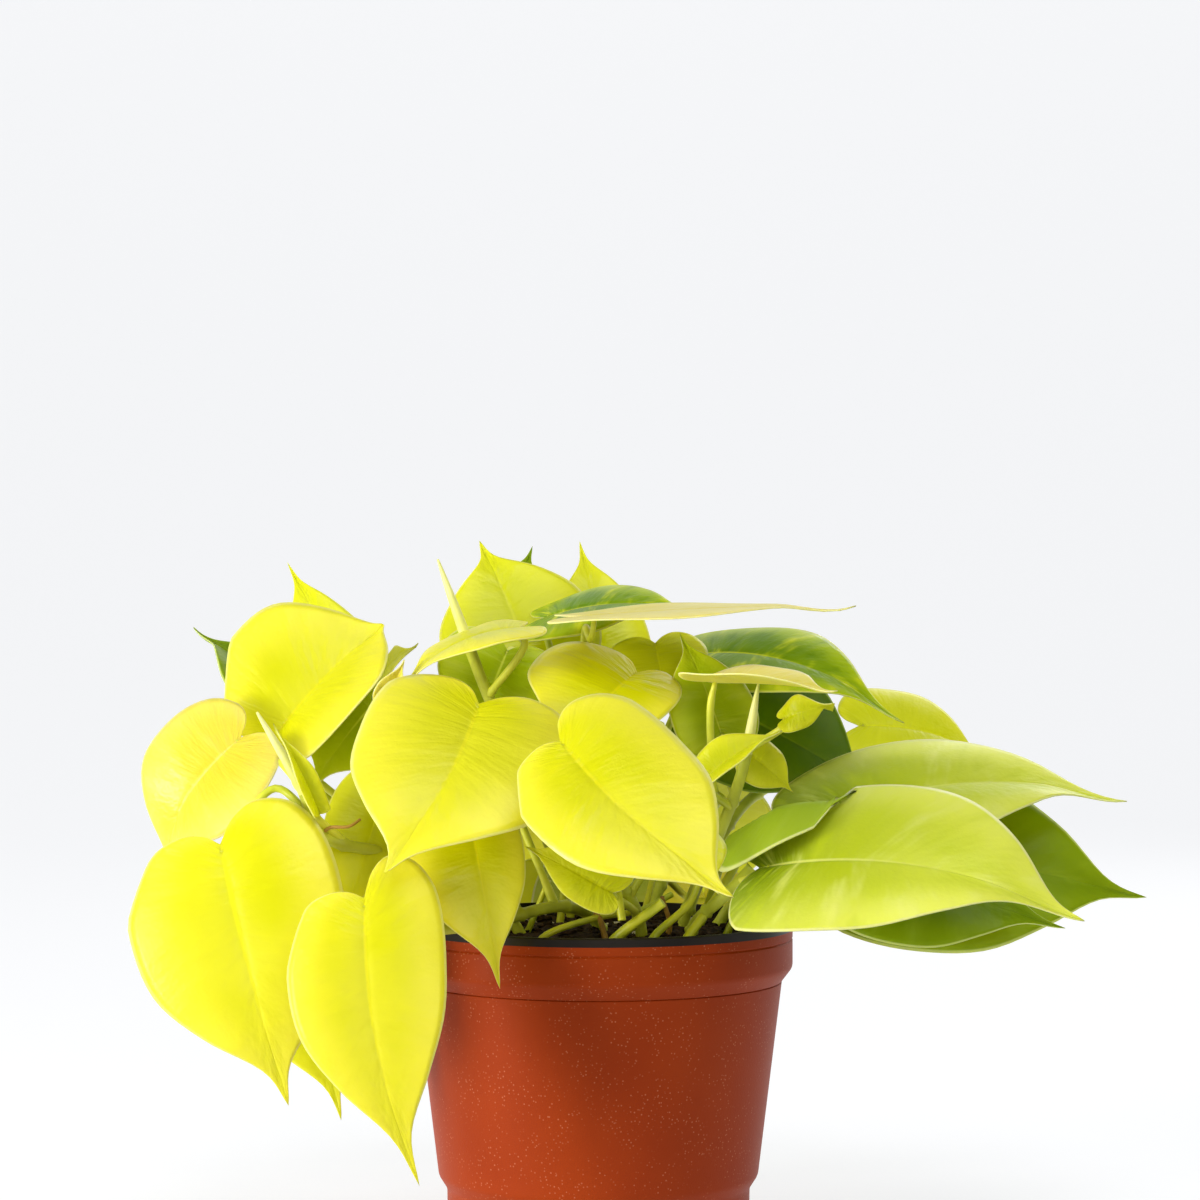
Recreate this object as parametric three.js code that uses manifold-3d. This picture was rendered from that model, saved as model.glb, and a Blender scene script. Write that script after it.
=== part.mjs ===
// Potted heart-leaf philodendron with lemon-lime leaves, in a plastic nursery pot.
// Millimetres, +Z up. The origin is the centre of the pot's underside, and the pot's axis is Z.
// The photographed side looks along -Y, with +X to its right.

import * as THREE from "three";
import { mergeVertices } from "three/addons/utils/BufferGeometryUtils.js";
import Module from "manifold-3d";

const wasm = await Module();
wasm.setup();

// Driving dimensions of the pot
const POT_HEIGHT = 118;
const RIM_RADIUS = 76;
const RIM_BAND_BOTTOM = 100;
const CREASE_HEIGHT = 94.5;
const CREASE_RADIUS = 71.8;
const SHOULDER_HEIGHT = 18.8;
const SHOULDER_RADIUS = 62.5;
const FOOT_HEIGHT = 13.7;
const FOOT_RADIUS = 59;
const GROOVE_HEIGHT = 111;
const GROOVE_DEPTH = 0.45;
const POT_WALL = 1.4;
const POT_FLOOR = 1.8;
const POT_SIDES = 44;
const DRAIN_COUNT = 8;
const DRAIN_RADIUS = 4;
const DRAIN_CIRCLE = 46;

// Driving dimensions of the soil
const SOIL_EDGE_HEIGHT = 111;
const SOIL_MOUND = 7;
const SOIL_LUMP = 1.3;
const SOIL_SIDES = POT_SIDES / 2;

// Driving dimensions of the plant
const CLEARANCE = 0.3;
const BLADE_THICKNESS = 0.8;
const PETIOLE_RADIUS = 1.5;
const PETIOLE_SIDES = 5;
const PETIOLE_STEPS = 5;
const STEM_RADIUS = 2.5;
const STEM_SIDES = 6;
const STEM_STEPS_PER_POINT = 2;

// Half the outline of a heart-shaped leaf with a drip tip: the share of the blade's length
// from the notch, and the share of the half width
const HALF_OUTLINE = [
  [0, 0],
  [-0.09, 0.17],
  [-0.13, 0.42],
  [-0.08, 0.74],
  [0.06, 0.95],
  [0.24, 1],
  [0.44, 0.9],
  [0.63, 0.56],
  [0.82, 0.13],
  [1, 0],
];
const OUTLINE_STEPS = HALF_OUTLINE.length - 1;
const HEART_CENTRE = 0.24;

// The share of a half width that a folded lobe's crease takes up
const CREASE_SHARE = 0.13;

// Turns a closed three.js geometry into a solid
function solidOf(geometry) {
  const bare = new THREE.BufferGeometry();
  bare.setAttribute("position", geometry.getAttribute("position").clone());
  bare.setIndex(geometry.getIndex());
  const merged = mergeVertices(bare, 1e-4);
  const corners = merged.getIndex().array;
  const kept = [];
  for (let i = 0; i < corners.length; i += 3) {
    const [a, b, c] = [corners[i], corners[i + 1], corners[i + 2]];
    if (a !== b && b !== c && c !== a) {
      kept.push(a, b, c);
    }
  }
  const vertProperties = new Float32Array(merged.getAttribute("position").array);
  const build = (order) =>
    new wasm.Manifold(new wasm.Mesh({ numProp: 3, vertProperties, triVerts: new Uint32Array(order) }));
  const solid = build(kept);
  if (solid.volume() > 0) {
    return solid;
  }
  return build(kept.reverse());
}

// Turns a solid back into a named mesh with its own material
function meshOf(name, solid, look) {
  const result = solid.getMesh();
  const geometry = new THREE.BufferGeometry();
  geometry.setAttribute("position", new THREE.BufferAttribute(new Float32Array(result.vertProperties), 3));
  geometry.setIndex(new THREE.BufferAttribute(new Uint32Array(result.triVerts), 1));
  geometry.computeVertexNormals();
  const mesh = new THREE.Mesh(geometry, new THREE.MeshStandardMaterial({ metalness: 0, ...look }));
  mesh.name = name;
  return mesh;
}

// A solid turned about the pot's axis, from a list of [radius, height]
function turned(profile, sides) {
  const points = profile.map(([radius, height]) => new THREE.Vector2(radius, height));
  const geometry = new THREE.LatheGeometry(points, sides);
  geometry.rotateX(Math.PI / 2);
  return geometry;
}

// A round tube along a curve, whose radius follows a function of the share of its length
function tubeAlong(curve, radiusAt, sides, steps) {
  const frames = curve.computeFrenetFrames(steps, false);
  const geometry = new THREE.CylinderGeometry(1, 1, 1, sides, steps);
  const spot = geometry.getAttribute("position");
  const place = new THREE.Vector3();
  for (let i = 0; i < spot.count; i += 1) {
    const share = spot.getY(i) + 0.5;
    const step = Math.round(share * steps);
    const radius = radiusAt(share);
    curve.getPointAt(step / steps, place);
    place.addScaledVector(frames.binormals[step], spot.getX(i) * radius);
    place.addScaledVector(frames.normals[step], spot.getZ(i) * radius);
    spot.setXYZ(i, place.x, place.y, place.z);
  }
  return solidOf(geometry);
}

// The pot: a tapered wall with a deeper band round its rim, one thin groove under the lip,
// a bevelled foot and drain holes in its floor
function potSolid() {
  const inner = (radius) => radius - POT_WALL;
  const profile = [
    [0, 0],
    [FOOT_RADIUS - 1.5, 0],
    [FOOT_RADIUS, 1.5],
    [FOOT_RADIUS + 0.2, FOOT_HEIGHT],
    [SHOULDER_RADIUS, SHOULDER_HEIGHT],
    [CREASE_RADIUS, CREASE_HEIGHT],
    [RIM_RADIUS, RIM_BAND_BOTTOM],
    [RIM_RADIUS, GROOVE_HEIGHT - 0.6],
    [RIM_RADIUS - GROOVE_DEPTH, GROOVE_HEIGHT],
    [RIM_RADIUS, GROOVE_HEIGHT + 0.6],
    [RIM_RADIUS, POT_HEIGHT - 0.6],
    [RIM_RADIUS - 0.6, POT_HEIGHT],
    [inner(RIM_RADIUS), POT_HEIGHT],
    [inner(RIM_RADIUS), RIM_BAND_BOTTOM + 0.6],
    [inner(CREASE_RADIUS), CREASE_HEIGHT + 0.6],
    [inner(SHOULDER_RADIUS), SHOULDER_HEIGHT],
    [inner(FOOT_RADIUS), FOOT_HEIGHT],
    [inner(FOOT_RADIUS), POT_FLOOR],
    [0, POT_FLOOR],
  ];
  let pot = solidOf(turned(profile, POT_SIDES));
  for (let i = 0; i < DRAIN_COUNT; i += 1) {
    const angle = (i * 2 * Math.PI) / DRAIN_COUNT;
    const drill = new THREE.CylinderGeometry(DRAIN_RADIUS, DRAIN_RADIUS, 4 * POT_FLOOR, 8);
    drill.rotateX(Math.PI / 2);
    drill.translate(DRAIN_CIRCLE * Math.cos(angle), DRAIN_CIRCLE * Math.sin(angle), POT_FLOOR / 2);
    pot = pot.subtract(solidOf(drill));
  }
  return pot;
}

// The soil fills the pot to just under the lip, mounded towards the middle, with a lumpy top
function soilGeometry() {
  const gap = POT_WALL + CLEARANCE;
  const edge = RIM_RADIUS - gap;
  const profile = [
    [0, POT_FLOOR + CLEARANCE],
    [FOOT_RADIUS - gap, POT_FLOOR + CLEARANCE],
    [FOOT_RADIUS - gap, FOOT_HEIGHT],
    [SHOULDER_RADIUS - gap, SHOULDER_HEIGHT],
    [CREASE_RADIUS - gap, CREASE_HEIGHT + 0.9],
    [edge, RIM_BAND_BOTTOM + 0.9],
    [edge, SOIL_EDGE_HEIGHT],
    [edge * 0.84, SOIL_EDGE_HEIGHT + SOIL_MOUND * 0.45],
    [edge * 0.62, SOIL_EDGE_HEIGHT + SOIL_MOUND * 0.75],
    [edge * 0.36, SOIL_EDGE_HEIGHT + SOIL_MOUND * 0.93],
    [edge * 0.14, SOIL_EDGE_HEIGHT + SOIL_MOUND],
    [0, SOIL_EDGE_HEIGHT + SOIL_MOUND],
  ];
  const geometry = turned(profile, SOIL_SIDES);
  const spot = geometry.getAttribute("position");
  for (let i = 0; i < spot.count; i += 1) {
    const z = spot.getZ(i);
    const radius = Math.hypot(spot.getX(i), spot.getY(i));
    if (z > SOIL_EDGE_HEIGHT + 1 && radius > 1) {
      const lump = Math.sin(spot.getX(i) * 0.31) * Math.cos(spot.getY(i) * 0.27 + 1);
      spot.setZ(i, z + SOIL_LUMP * lump);
    }
  }
  return geometry;
}

// The frame of a leaf: length along the midrib's chord, the way its face looks, and its side
function leafFrame(leaf) {
  const notch = new THREE.Vector3(...leaf.notch);
  const tip = new THREE.Vector3(...leaf.tip);
  const along = tip.clone().sub(notch);
  const length = along.length();
  along.normalize();
  const face = new THREE.Vector3(...leaf.face);
  face.addScaledVector(along, -face.dot(along)).normalize();
  const side = new THREE.Vector3().crossVectors(face, along);
  return { notch, length, along, face, side };
}

// A point of the blade's middle surface. a runs from the notch to the tip, and b from the
// left margin (-1) to the right margin (1) as seen on the face with the tip down
function bladePoint(leaf, frame, a, b) {
  const left = b < 0;
  const share = Math.abs(b);
  const nearBase = THREE.MathUtils.clamp(1 - a / leaf.baseReach, 0, 1.2);
  const pinch = 1 - (left ? leaf.pinchLeft : leaf.pinchRight) * Math.min(1, nearBase);
  const halfWidth = leaf.width * (left ? leaf.leftShare : 1 - leaf.leftShare) * pinch;
  const fold = THREE.MathUtils.degToRad(leaf.fold + (left ? leaf.liftLeft : leaf.liftRight) * nearBase);
  const bend = THREE.MathUtils.degToRad(leaf.curl);
  const runOut = 0.6 * Math.max(0, a / leaf.baseReach) ** 20;
  const crease = Math.max(0.05, leaf.rollFrom + leaf.rollSlope * a + runOut);
  const flat = leaf.rollRight > 0 && !left ? Math.min(share, crease) : share;
  const edge = fold - bend * flat;
  let out = (halfWidth * (Math.sin(fold) - Math.sin(edge))) / bend;
  let up = (halfWidth * (Math.cos(edge) - Math.cos(fold))) / bend;
  if (share > flat) {
    const roll = THREE.MathUtils.degToRad(leaf.rollRight) * THREE.MathUtils.clamp(12 * nearBase, 0, 1);
    const turnBack = roll / CREASE_SHARE - bend;
    const part = Math.min(share - flat, CREASE_SHARE);
    const margin = edge + turnBack * part;
    const rest = halfWidth * (share - flat - part);
    out += (halfWidth * (Math.sin(margin) - Math.sin(edge))) / turnBack + rest * Math.cos(margin);
    up += (halfWidth * (Math.cos(edge) - Math.cos(margin))) / turnBack + rest * Math.sin(margin);
  }
  const turn = THREE.MathUtils.degToRad(leaf.twist * a);
  const sideways = left ? -out : out;
  const across = sideways * Math.cos(turn) - up * Math.sin(turn);
  const above = sideways * Math.sin(turn) + up * Math.cos(turn);
  const end = THREE.MathUtils.clamp((a - 0.7) / 0.3, 0, 1);
  const bow = frame.length * (leaf.arch * 4 * a * (1 - a) + leaf.drip * end * end * (1 - end) * 3);
  const sway = frame.length * leaf.sway * Math.sin(Math.PI * THREE.MathUtils.clamp(a, 0, 1));
  return frame.notch
    .clone()
    .addScaledVector(frame.along, frame.length * a)
    .addScaledVector(frame.side, across + sway)
    .addScaledVector(frame.face, above + bow);
}

// Splits a disc's lower quads along the diagonals that its upper ones have, so that the two
// faces of a waved blade stay the same distance apart
function matchSplits(geometry, quadsPerSector, firstLower) {
  const corners = geometry.getIndex();
  for (let i = 0; i < corners.count; i += 6) {
    if ((i / 6) % quadsPerSector >= firstLower) {
      const [a, b, d, c] = [0, 1, 2, 3].map((k) => corners.getX(i + k));
      [a, b, c, c, d, a].forEach((corner, k) => corners.setX(i + k, corner));
    }
  }
}

// The blade: a disc whose rings shrink the heart outline towards a point on the midrib,
// each side of it half the thickness from the middle surface
function bladeSolid(leaf, frame) {
  const rings = leaf.rings;
  const profile = [];
  for (let j = 0; j <= rings; j += 1) {
    profile.push(new THREE.Vector2(j / rings, 1));
  }
  for (let j = rings; j >= 0; j -= 1) {
    profile.push(new THREE.Vector2(j / rings, -1));
  }
  const sectors = 2 * OUTLINE_STEPS;
  const geometry = new THREE.LatheGeometry(profile, sectors);
  matchSplits(geometry, profile.length - 1, rings + 1);
  const spot = geometry.getAttribute("position");
  const nudge = 0.01;
  for (let i = 0; i < spot.count; i += 1) {
    const ray = Math.floor(i / profile.length) % sectors;
    const ring = profile[i % profile.length].x;
    const step = ray <= OUTLINE_STEPS ? ray : sectors - ray;
    const [outA, outB] = HALF_OUTLINE[step];
    const lobe = ray <= OUTLINE_STEPS ? leaf.lobeRight : leaf.lobeLeft;
    const belly = leaf.belly - (ray <= OUTLINE_STEPS ? 0 : leaf.slimLeft);
    const marginA = outA > 0 ? outA + belly * outA * (1 - outA) : outA * lobe;
    const a = HEART_CENTRE + (marginA - HEART_CENTRE) * ring;
    const b = (ray <= OUTLINE_STEPS ? outB : -outB) * ring;
    const place = bladePoint(leaf, frame, a, b);
    const alongStep = bladePoint(leaf, frame, a + nudge, b).sub(place);
    const sideStep = bladePoint(leaf, frame, a, b > 0 ? b - nudge : b + nudge).sub(place);
    const normal = new THREE.Vector3().crossVectors(sideStep, alongStep).normalize();
    if (b > 0) {
      normal.negate();
    }
    place.addScaledVector(normal, (spot.getY(i) * BLADE_THICKNESS) / 2);
    spot.setXYZ(i, place.x, place.y, place.z);
  }
  return solidOf(geometry);
}

// The petiole: a thin stalk from its stem to the notch, thicker where it clasps the stem
function petioleSolid(leaf, frame, root) {
  const end = bladePoint(leaf, frame, 0.035, 0).addScaledVector(frame.face, -0.25);
  const reach = root.distanceTo(end);
  const points = [root];
  for (const place of leaf.via) {
    points.push(new THREE.Vector3(...place));
  }
  const before = end.clone().addScaledVector(frame.face, -Math.min(9, reach * 0.2));
  before.addScaledVector(frame.along, -2);
  points.push(before, end);
  const curve = new THREE.CatmullRomCurve3(points, false, "centripetal");
  const radiusAt = (share) => {
    const base = Math.max(0, 1 - share / 0.15);
    const neck = Math.max(0, (share - 0.88) / 0.12);
    return PETIOLE_RADIUS * (1 + 0.35 * base - 0.4 * neck);
  };
  return tubeAlong(curve, radiusAt, PETIOLE_SIDES, PETIOLE_STEPS);
}

const LEAF_DEFAULTS = {
  leftShare: 0.5,
  baseReach: 0.2,
  fold: 10,
  curl: 30,
  liftLeft: 0,
  liftRight: 0,
  rollRight: 0,
  rollFrom: 0,
  rollSlope: 0,
  pinchLeft: 0,
  pinchRight: 0,
  lobeLeft: 1,
  lobeRight: 1,
  arch: 0.06,
  drip: -0.04,
  sway: 0,
  twist: 0,
  belly: 0,
  slimLeft: 0,
  rings: 2,
  via: [],
};

// Looks of the leaves
const LEMON = { color: "#e3d61c", roughness: 0.42 };
const PALE_LEMON = { color: "#efe37a", roughness: 0.5 };
const LIME = { color: "#c3cc12", roughness: 0.42 };
const GREEN_LIME = { color: "#9db81c", roughness: 0.42 };
const MID_GREEN = { color: "#6f9c12", roughness: 0.42 };
const DARK_GREEN = { color: "#2f5408", roughness: 0.45 };

// The vines: each stem's points, from inside the soil to its tip. A pointed stem ends in the
// spike of a new leaf.
const VINES = {
  front_left: {
    points: [
      [-22, -26, 90],
      [-32, -34, 119],
      [-62, -45, 143],
      [-104, -55, 155],
      [-111, -56, 172],
      [-128, -57, 201],
    ],
    pointed: true,
  },
  over_rim: { points: [[6, -20, 90], [0, -34, 119], [-12, -45, 127], [-42, -65, 122.5], [-64, -78, 121]] },
  front: { points: [[14, -28, 90], [16, -42, 119], [8, -54, 138], [-4, -56, 158]] },
  front_right: { points: [[32, -24, 90], [36, -40, 119], [46, -50, 130], [58, -50, 142]] },
  sprig: {
    points: [[28, -10, 90], [34, -16, 122], [46, -26, 152], [55, -33, 178], [61, -35, 211]],
    pointed: true,
  },
  right: { points: [[42, 0, 90], [50, -2, 121], [80, -6, 138], [108, 2, 134]] },
  right_back: { points: [[30, 20, 90], [38, 30, 124], [58, 52, 158], [80, 70, 172]] },
  centre: { points: [[4, -4, 90], [6, -6, 125], [14, -4, 160], [24, 0, 186]] },
  left: { points: [[-36, 0, 90], [-48, 2, 122], [-80, 6, 148], [-104, 8, 160]] },
  top: {
    points: [[-6, 10, 90], [-12, 8, 125], [-28, 4, 168], [-46, 2, 212], [-54, 0, 234], [-63, 0, 259]],
    pointed: true,
  },
  back_right: { points: [[14, 24, 90], [22, 34, 121], [36, 46, 146], [50, 62, 162]] },
  back: { points: [[-4, 30, 90], [-4, 40, 121], [-2, 58, 146], [-2, 78, 160]] },
  back_left: { points: [[-24, 22, 90], [-34, 32, 121], [-50, 46, 146], [-64, 60, 160]] },
};

// Small young leaves that are one body with their stem
const YOUNG_LEAVES = [
  {
    vine: "sprig", at: 0.62, notch: [40, -52, 176], tip: [69, -50, 194], face: [-0.3, -0.7, 0.7],
    width: 20, fold: 40,
  },
  {
    vine: "sprig", at: 0.8, notch: [70, -45, 198], tip: [89, -50, 204], face: [0, -0.8, 0.6],
    width: 14, twist: 100,
  },
  {
    vine: "sprig", at: 0.7, notch: [58, -28, 184], tip: [75, -25, 169], face: [0, -0.8, 0.6],
    width: 22,
  },
  {
    vine: "top", at: 0.45, notch: [-82, -30, 204], tip: [-74, -33, 220], face: [0.3, -0.8, 0.5],
    width: 13, fold: 45,
  },
  {
    vine: "centre", at: 0.5, notch: [4, -30, 180], tip: [24, -66, 160], face: [0, -0.5, 0.85],
    width: 44,
  },
  {
    vine: "front", at: 0.6, notch: [26, -64, 158], tip: [44, -92, 136], face: [0.2, -0.5, 0.85],
    width: 36,
  },
];

// The leaves that the photographed side shows, from left to right and front to back
const LEAVES = [
  {
    name: "leaf_far_left", vine: "front_left", at: 0.82, look: PALE_LEMON,
    notch: [-138, -20, 190], tip: [-168, -6, 135], face: [-0.46, -0.8, 0.38], width: 64, fold: 22,
    arch: 0.18, leftShare: 0.47,
  },
  {
    name: "leaf_low_left", vine: "front_left", at: 0.74, look: LEMON, rings: 3,
    notch: [-141, -64, 152], tip: [-114, -80, 57], face: [-0.1, -0.95, 0.3], width: 85, arch: 0.1,
    belly: 0.25, lobeLeft: 0.5, pinchLeft: 0.2, via: [[-122, -50, 172]],
  },
  {
    name: "leaf_low_front", vine: "front_left", at: 0.42, look: LEMON, rings: 3,
    notch: [-85, -98, 135], tip: [-64, -112, 33], face: [0, -0.95, 0.2], width: 61, arch: 0.08,
    sway: -0.05, lobeLeft: 0.3, pinchLeft: 0.15,
  },
  {
    name: "leaf_front_left", vine: "over_rim", at: 0.5, look: LEMON, rings: 3,
    notch: [-45, -50, 204], tip: [-77, -106, 145], face: [0, -0.7, 0.7], width: 88, arch: 0.08,
    belly: 0.45, leftShare: 0.49, sway: 0.07,
  },
  {
    name: "leaf_front", vine: "front", at: 0.95, look: LEMON, rings: 3,
    notch: [-14, -97, 192], tip: [47, -149, 140], face: [0, -0.75, 0.6], width: 70, arch: 0.05,
    belly: 0.4, leftShare: 0.45, sway: -0.06, lobeLeft: 0.2, pinchLeft: 0.25, via: [[-7, -80, 162.5]],
  },
  {
    name: "leaf_upper_left", vine: "left", at: 0.8, look: LEMON,
    notch: [-126, -8, 190], tip: [-85, 10, 233.5], face: [-0.35, -0.75, 0.55], width: 76, fold: 22,
    curl: 15, arch: 0.05, belly: 0.9, leftShare: 0.42, pinchRight: 0.25, baseReach: 0.3,
  },
  {
    name: "leaf_left_behind", vine: "left", at: 0.6, look: LIME,
    notch: [-95, 42, 202], tip: [-72, 20, 226], face: [0, -0.6, 0.8], width: 38,
  },
  {
    name: "leaf_left_high_tip", vine: "back_left", at: 0.88, look: LIME,
    notch: [-99, 62, 202], tip: [-131, 95, 259], face: [-0.2, -0.7, 0.7], width: 34,
  },
  {
    name: "leaf_green_left", vine: "left", at: 0.95, look: MID_GREEN,
    notch: [-118, 16, 187], tip: [-166, 60, 232], face: [0.56, -0.64, 0.52], width: 44, fold: 26,
  },
  {
    name: "leaf_top", vine: "top", at: 0.5, look: LIME,
    notch: [-27, 60, 216], tip: [-50, 92, 268], face: [0, -0.8, 0.6], width: 70,
  },
  {
    name: "leaf_top_green_tip", vine: "top", at: 0.42, look: MID_GREEN,
    notch: [-41, 80, 222], tip: [-28, 106, 266], face: [0, -0.8, 0.6], width: 38,
  },
  {
    name: "leaf_top_right_tip", vine: "centre", at: 0.75, look: LIME,
    notch: [4, 70, 208], tip: [-8, 105, 268], face: [0, -0.8, 0.6], width: 44,
  },
  {
    name: "leaf_curled", vine: "top", at: 0.68, look: LEMON,
    notch: [-31, -15, 232.5], tip: [-76, -32, 210], face: [0, -0.1, 1], width: 46, liftLeft: 5,
    arch: 0.1,
  },
  {
    name: "leaf_top_green", vine: "centre", at: 0.7, look: GREEN_LIME,
    notch: [-22, 39, 236], tip: [41, 24, 238], face: [0, -0.35, 0.93], width: 58, arch: 0.08,
  },
  {
    name: "leaf_flat", vine: "centre", at: 0.8, look: PALE_LEMON,
    notch: [-5, -12, 237], tip: [99, -25, 241], face: [0, -0.1, 1], width: 54, fold: 2, curl: 5,
    arch: 0.01, via: [[10, 14, 200], [-5, 14, 223], [-5, 5, 232]],
  },
  {
    name: "leaf_middle", vine: "centre", at: 0.55, look: LIME,
    notch: [15, -15, 215], tip: [-17, -55, 180], face: [-0.1, -0.8, 0.55], width: 62, arch: 0.08,
    leftShare: 0.62,
  },
  {
    name: "leaf_middle_shaded", vine: "top", at: 0.52, look: GREEN_LIME,
    notch: [-36, 14, 223], tip: [-50, 12, 186], face: [0, -0.85, 0.5], width: 54,
  },
  {
    name: "leaf_middle_right", vine: "centre", at: 0.99, look: GREEN_LIME,
    notch: [48, -16, 190], tip: [32, 0, 230], face: [0.2, -0.9, 0.4], width: 37,
  },
  {
    name: "leaf_middle_behind", vine: "centre", at: 0.95, look: LIME,
    notch: [22.5, 16, 226], tip: [27, 0, 199], face: [0, -0.8, 0.6], width: 42,
  },
  {
    name: "leaf_edge_on", vine: "sprig", at: 0.5, look: PALE_LEMON,
    notch: [43, -33, 212], tip: [89, -66, 209.5], face: [0, -0.05, 1], width: 44, fold: 15, curl: 5,
    arch: 0.02,
  },
  {
    name: "leaf_arching", vine: "centre", at: 0.9, look: GREEN_LIME,
    notch: [37, 40, 221], tip: [120, 2, 195], face: [0.1, -0.5, 0.85], width: 64, arch: 0.12,
  },
  {
    name: "leaf_dark", vine: "right_back", at: 0.7, look: DARK_GREEN,
    notch: [46, 62, 202], tip: [116, 44, 162], face: [0, -0.85, 0.5], width: 66,
  },
  {
    name: "leaf_right_behind", vine: "right_back", at: 0.95, look: LIME,
    notch: [108, 74, 191], tip: [164, 86, 174], face: [0.1, -0.6, 0.75], width: 56, arch: 0.12,
  },
  {
    name: "leaf_right_upper", vine: "right", at: 0.74, look: GREEN_LIME,
    notch: [86, -5, 158], tip: [208, 5, 164], face: [0, -0.45, 0.9], width: 84, arch: 0.1,
    leftShare: 0.45,
  },
  {
    name: "leaf_right_front", vine: "front_right", at: 0.9, look: GREEN_LIME, rings: 3,
    notch: [60, -62, 143], tip: [176, -100, 127], face: [-0.09, -0.63, 0.76], width: 84, arch: 0.12,
    leftShare: 0.44, belly: 0.5, slimLeft: 0.55, lobeLeft: 0.4, lobeRight: 1.1, pinchRight: -0.5,
    rollFrom: 0.33, rollSlope: 1, rollRight: 180,
  },
  {
    name: "leaf_right_low", vine: "right", at: 0.97, look: MID_GREEN,
    notch: [99, 0, 145], tip: [214, -5, 127], face: [-0.05, -0.85, 0.5], width: 82, belly: 0.2,
  },
  {
    name: "leaf_right_inner", vine: "right", at: 0.6, look: MID_GREEN,
    notch: [100, -26, 136], tip: [178, -36, 118], face: [-0.05, -0.8, 0.55], width: 52,
  },
  {
    name: "leaf_right_rear", vine: "right_back", at: 0.45, look: LIME,
    notch: [68, 42, 144], tip: [100, 62, 108], face: [0.5, 0.3, 0.8], width: 46,
  },
  {
    name: "leaf_under_front", vine: "front", at: 0.5, look: LIME,
    notch: [5, -76, 135], tip: [-27, -74, 152], face: [0, -0.95, 0.2], width: 30, leftShare: 0.65,
  },
  {
    name: "leaf_over_rim", vine: "over_rim", at: 0.7, look: LEMON,
    notch: [-48, -72, 165], tip: [-36, -88, 101], face: [0.1, -0.95, 0.2], width: 46, leftShare: 0.6,
  },
  {
    name: "leaf_left_inner", vine: "front_left", at: 0.55, look: LIME,
    notch: [-81, -40, 171], tip: [-95, -58, 121], face: [0, -0.9, 0.4], width: 40,
  },
  {
    name: "leaf_left_middle", vine: "left", at: 0.4, look: GREEN_LIME,
    notch: [-86, 6, 205], tip: [-112, -10, 169], face: [-0.2, -0.8, 0.5], width: 58,
  },
  {
    name: "leaf_low_left_behind", vine: "left", at: 0.62, look: LIME,
    notch: [-114, -30, 117], tip: [-97, -50, 47], face: [-0.1, -0.95, 0.2], width: 56,
  },
];

// The rear half that the photograph doesn't show, in three tiers of leaves like those in front
const REAR_TIERS = {
  high: { notchRadius: 88, notchHeight: 184, tipRadius: 148, tipHeight: 156, width: 64, arch: 0.1 },
  middle: { notchRadius: 98, notchHeight: 158, tipRadius: 140, tipHeight: 94, width: 68, arch: 0.12 },
  low: { notchRadius: 92, notchHeight: 126, tipRadius: 108, tipHeight: 42, width: 58, arch: 0.08 },
};
const REAR_LEAVES = [
  { tier: "high", azimuth: 60, out: 8, rise: -6, vine: "back_right", at: 0.98 },
  { tier: "high", azimuth: 92, out: -8, rise: 10, vine: "back", at: 0.9 },
  { tier: "high", azimuth: 117, out: 6, rise: -5, vine: "back_left", at: 0.97 },
  { tier: "middle", azimuth: 66, out: 9, rise: 6, vine: "back_right", at: 0.72 },
  { tier: "middle", azimuth: 98, out: 0, rise: -6, vine: "back", at: 0.72 },
  { tier: "middle", azimuth: 130, out: 9, rise: 3, vine: "back_left", at: 0.66 },
  { tier: "middle", azimuth: 156, out: -2, rise: -8, vine: "back_left", at: 0.52 },
  { tier: "low", azimuth: 64, out: 9, rise: -6, vine: "back_right", at: 0.5 },
  { tier: "low", azimuth: 90, out: -3, rise: 4, vine: "back", at: 0.5 },
  { tier: "low", azimuth: 114, out: 8, rise: -2, vine: "back_left", at: 0.5 },
  { tier: "low", azimuth: 138, out: -2, rise: 4, vine: "back_left", at: 0.4 },
  { tier: "low", azimuth: 160, out: 9, rise: 12, vine: "left", at: 0.36 },
];
const REAR_LOOKS = [LIME, LEMON, GREEN_LIME];

// A rear leaf's place: its tier's, shifted a little by a rule so that no two are alike
function rearLeaf(entry, index) {
  const tier = REAR_TIERS[entry.tier];
  const shift = (phase, reach) => reach * Math.sin(2.3 * index + phase);
  const azimuth = THREE.MathUtils.degToRad(entry.azimuth);
  const lean = THREE.MathUtils.degToRad(entry.azimuth + shift(1, 6));
  const notchRadius = tier.notchRadius + entry.out;
  const tipRadius = tier.tipRadius + entry.out + shift(2, 3);
  const tipHeight = tier.tipHeight + entry.rise + shift(3, 4);
  return {
    name: `leaf_rear_${entry.tier}_${entry.azimuth}`,
    vine: entry.vine,
    at: entry.at,
    look: REAR_LOOKS[index % REAR_LOOKS.length],
    notch: [
      notchRadius * Math.cos(azimuth),
      notchRadius * Math.sin(azimuth),
      tier.notchHeight + entry.rise,
    ],
    tip: [tipRadius * Math.cos(lean), tipRadius * Math.sin(lean), tipHeight],
    face: [0.6 * Math.cos(azimuth), 0.6 * Math.sin(azimuth), 0.8],
    width: tier.width + shift(4, 3),
    arch: tier.arch,
  };
}

const leaves = [...LEAVES, ...REAR_LEAVES.map(rearLeaf)].map((entry) => ({ ...LEAF_DEFAULTS, ...entry }));

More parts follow.
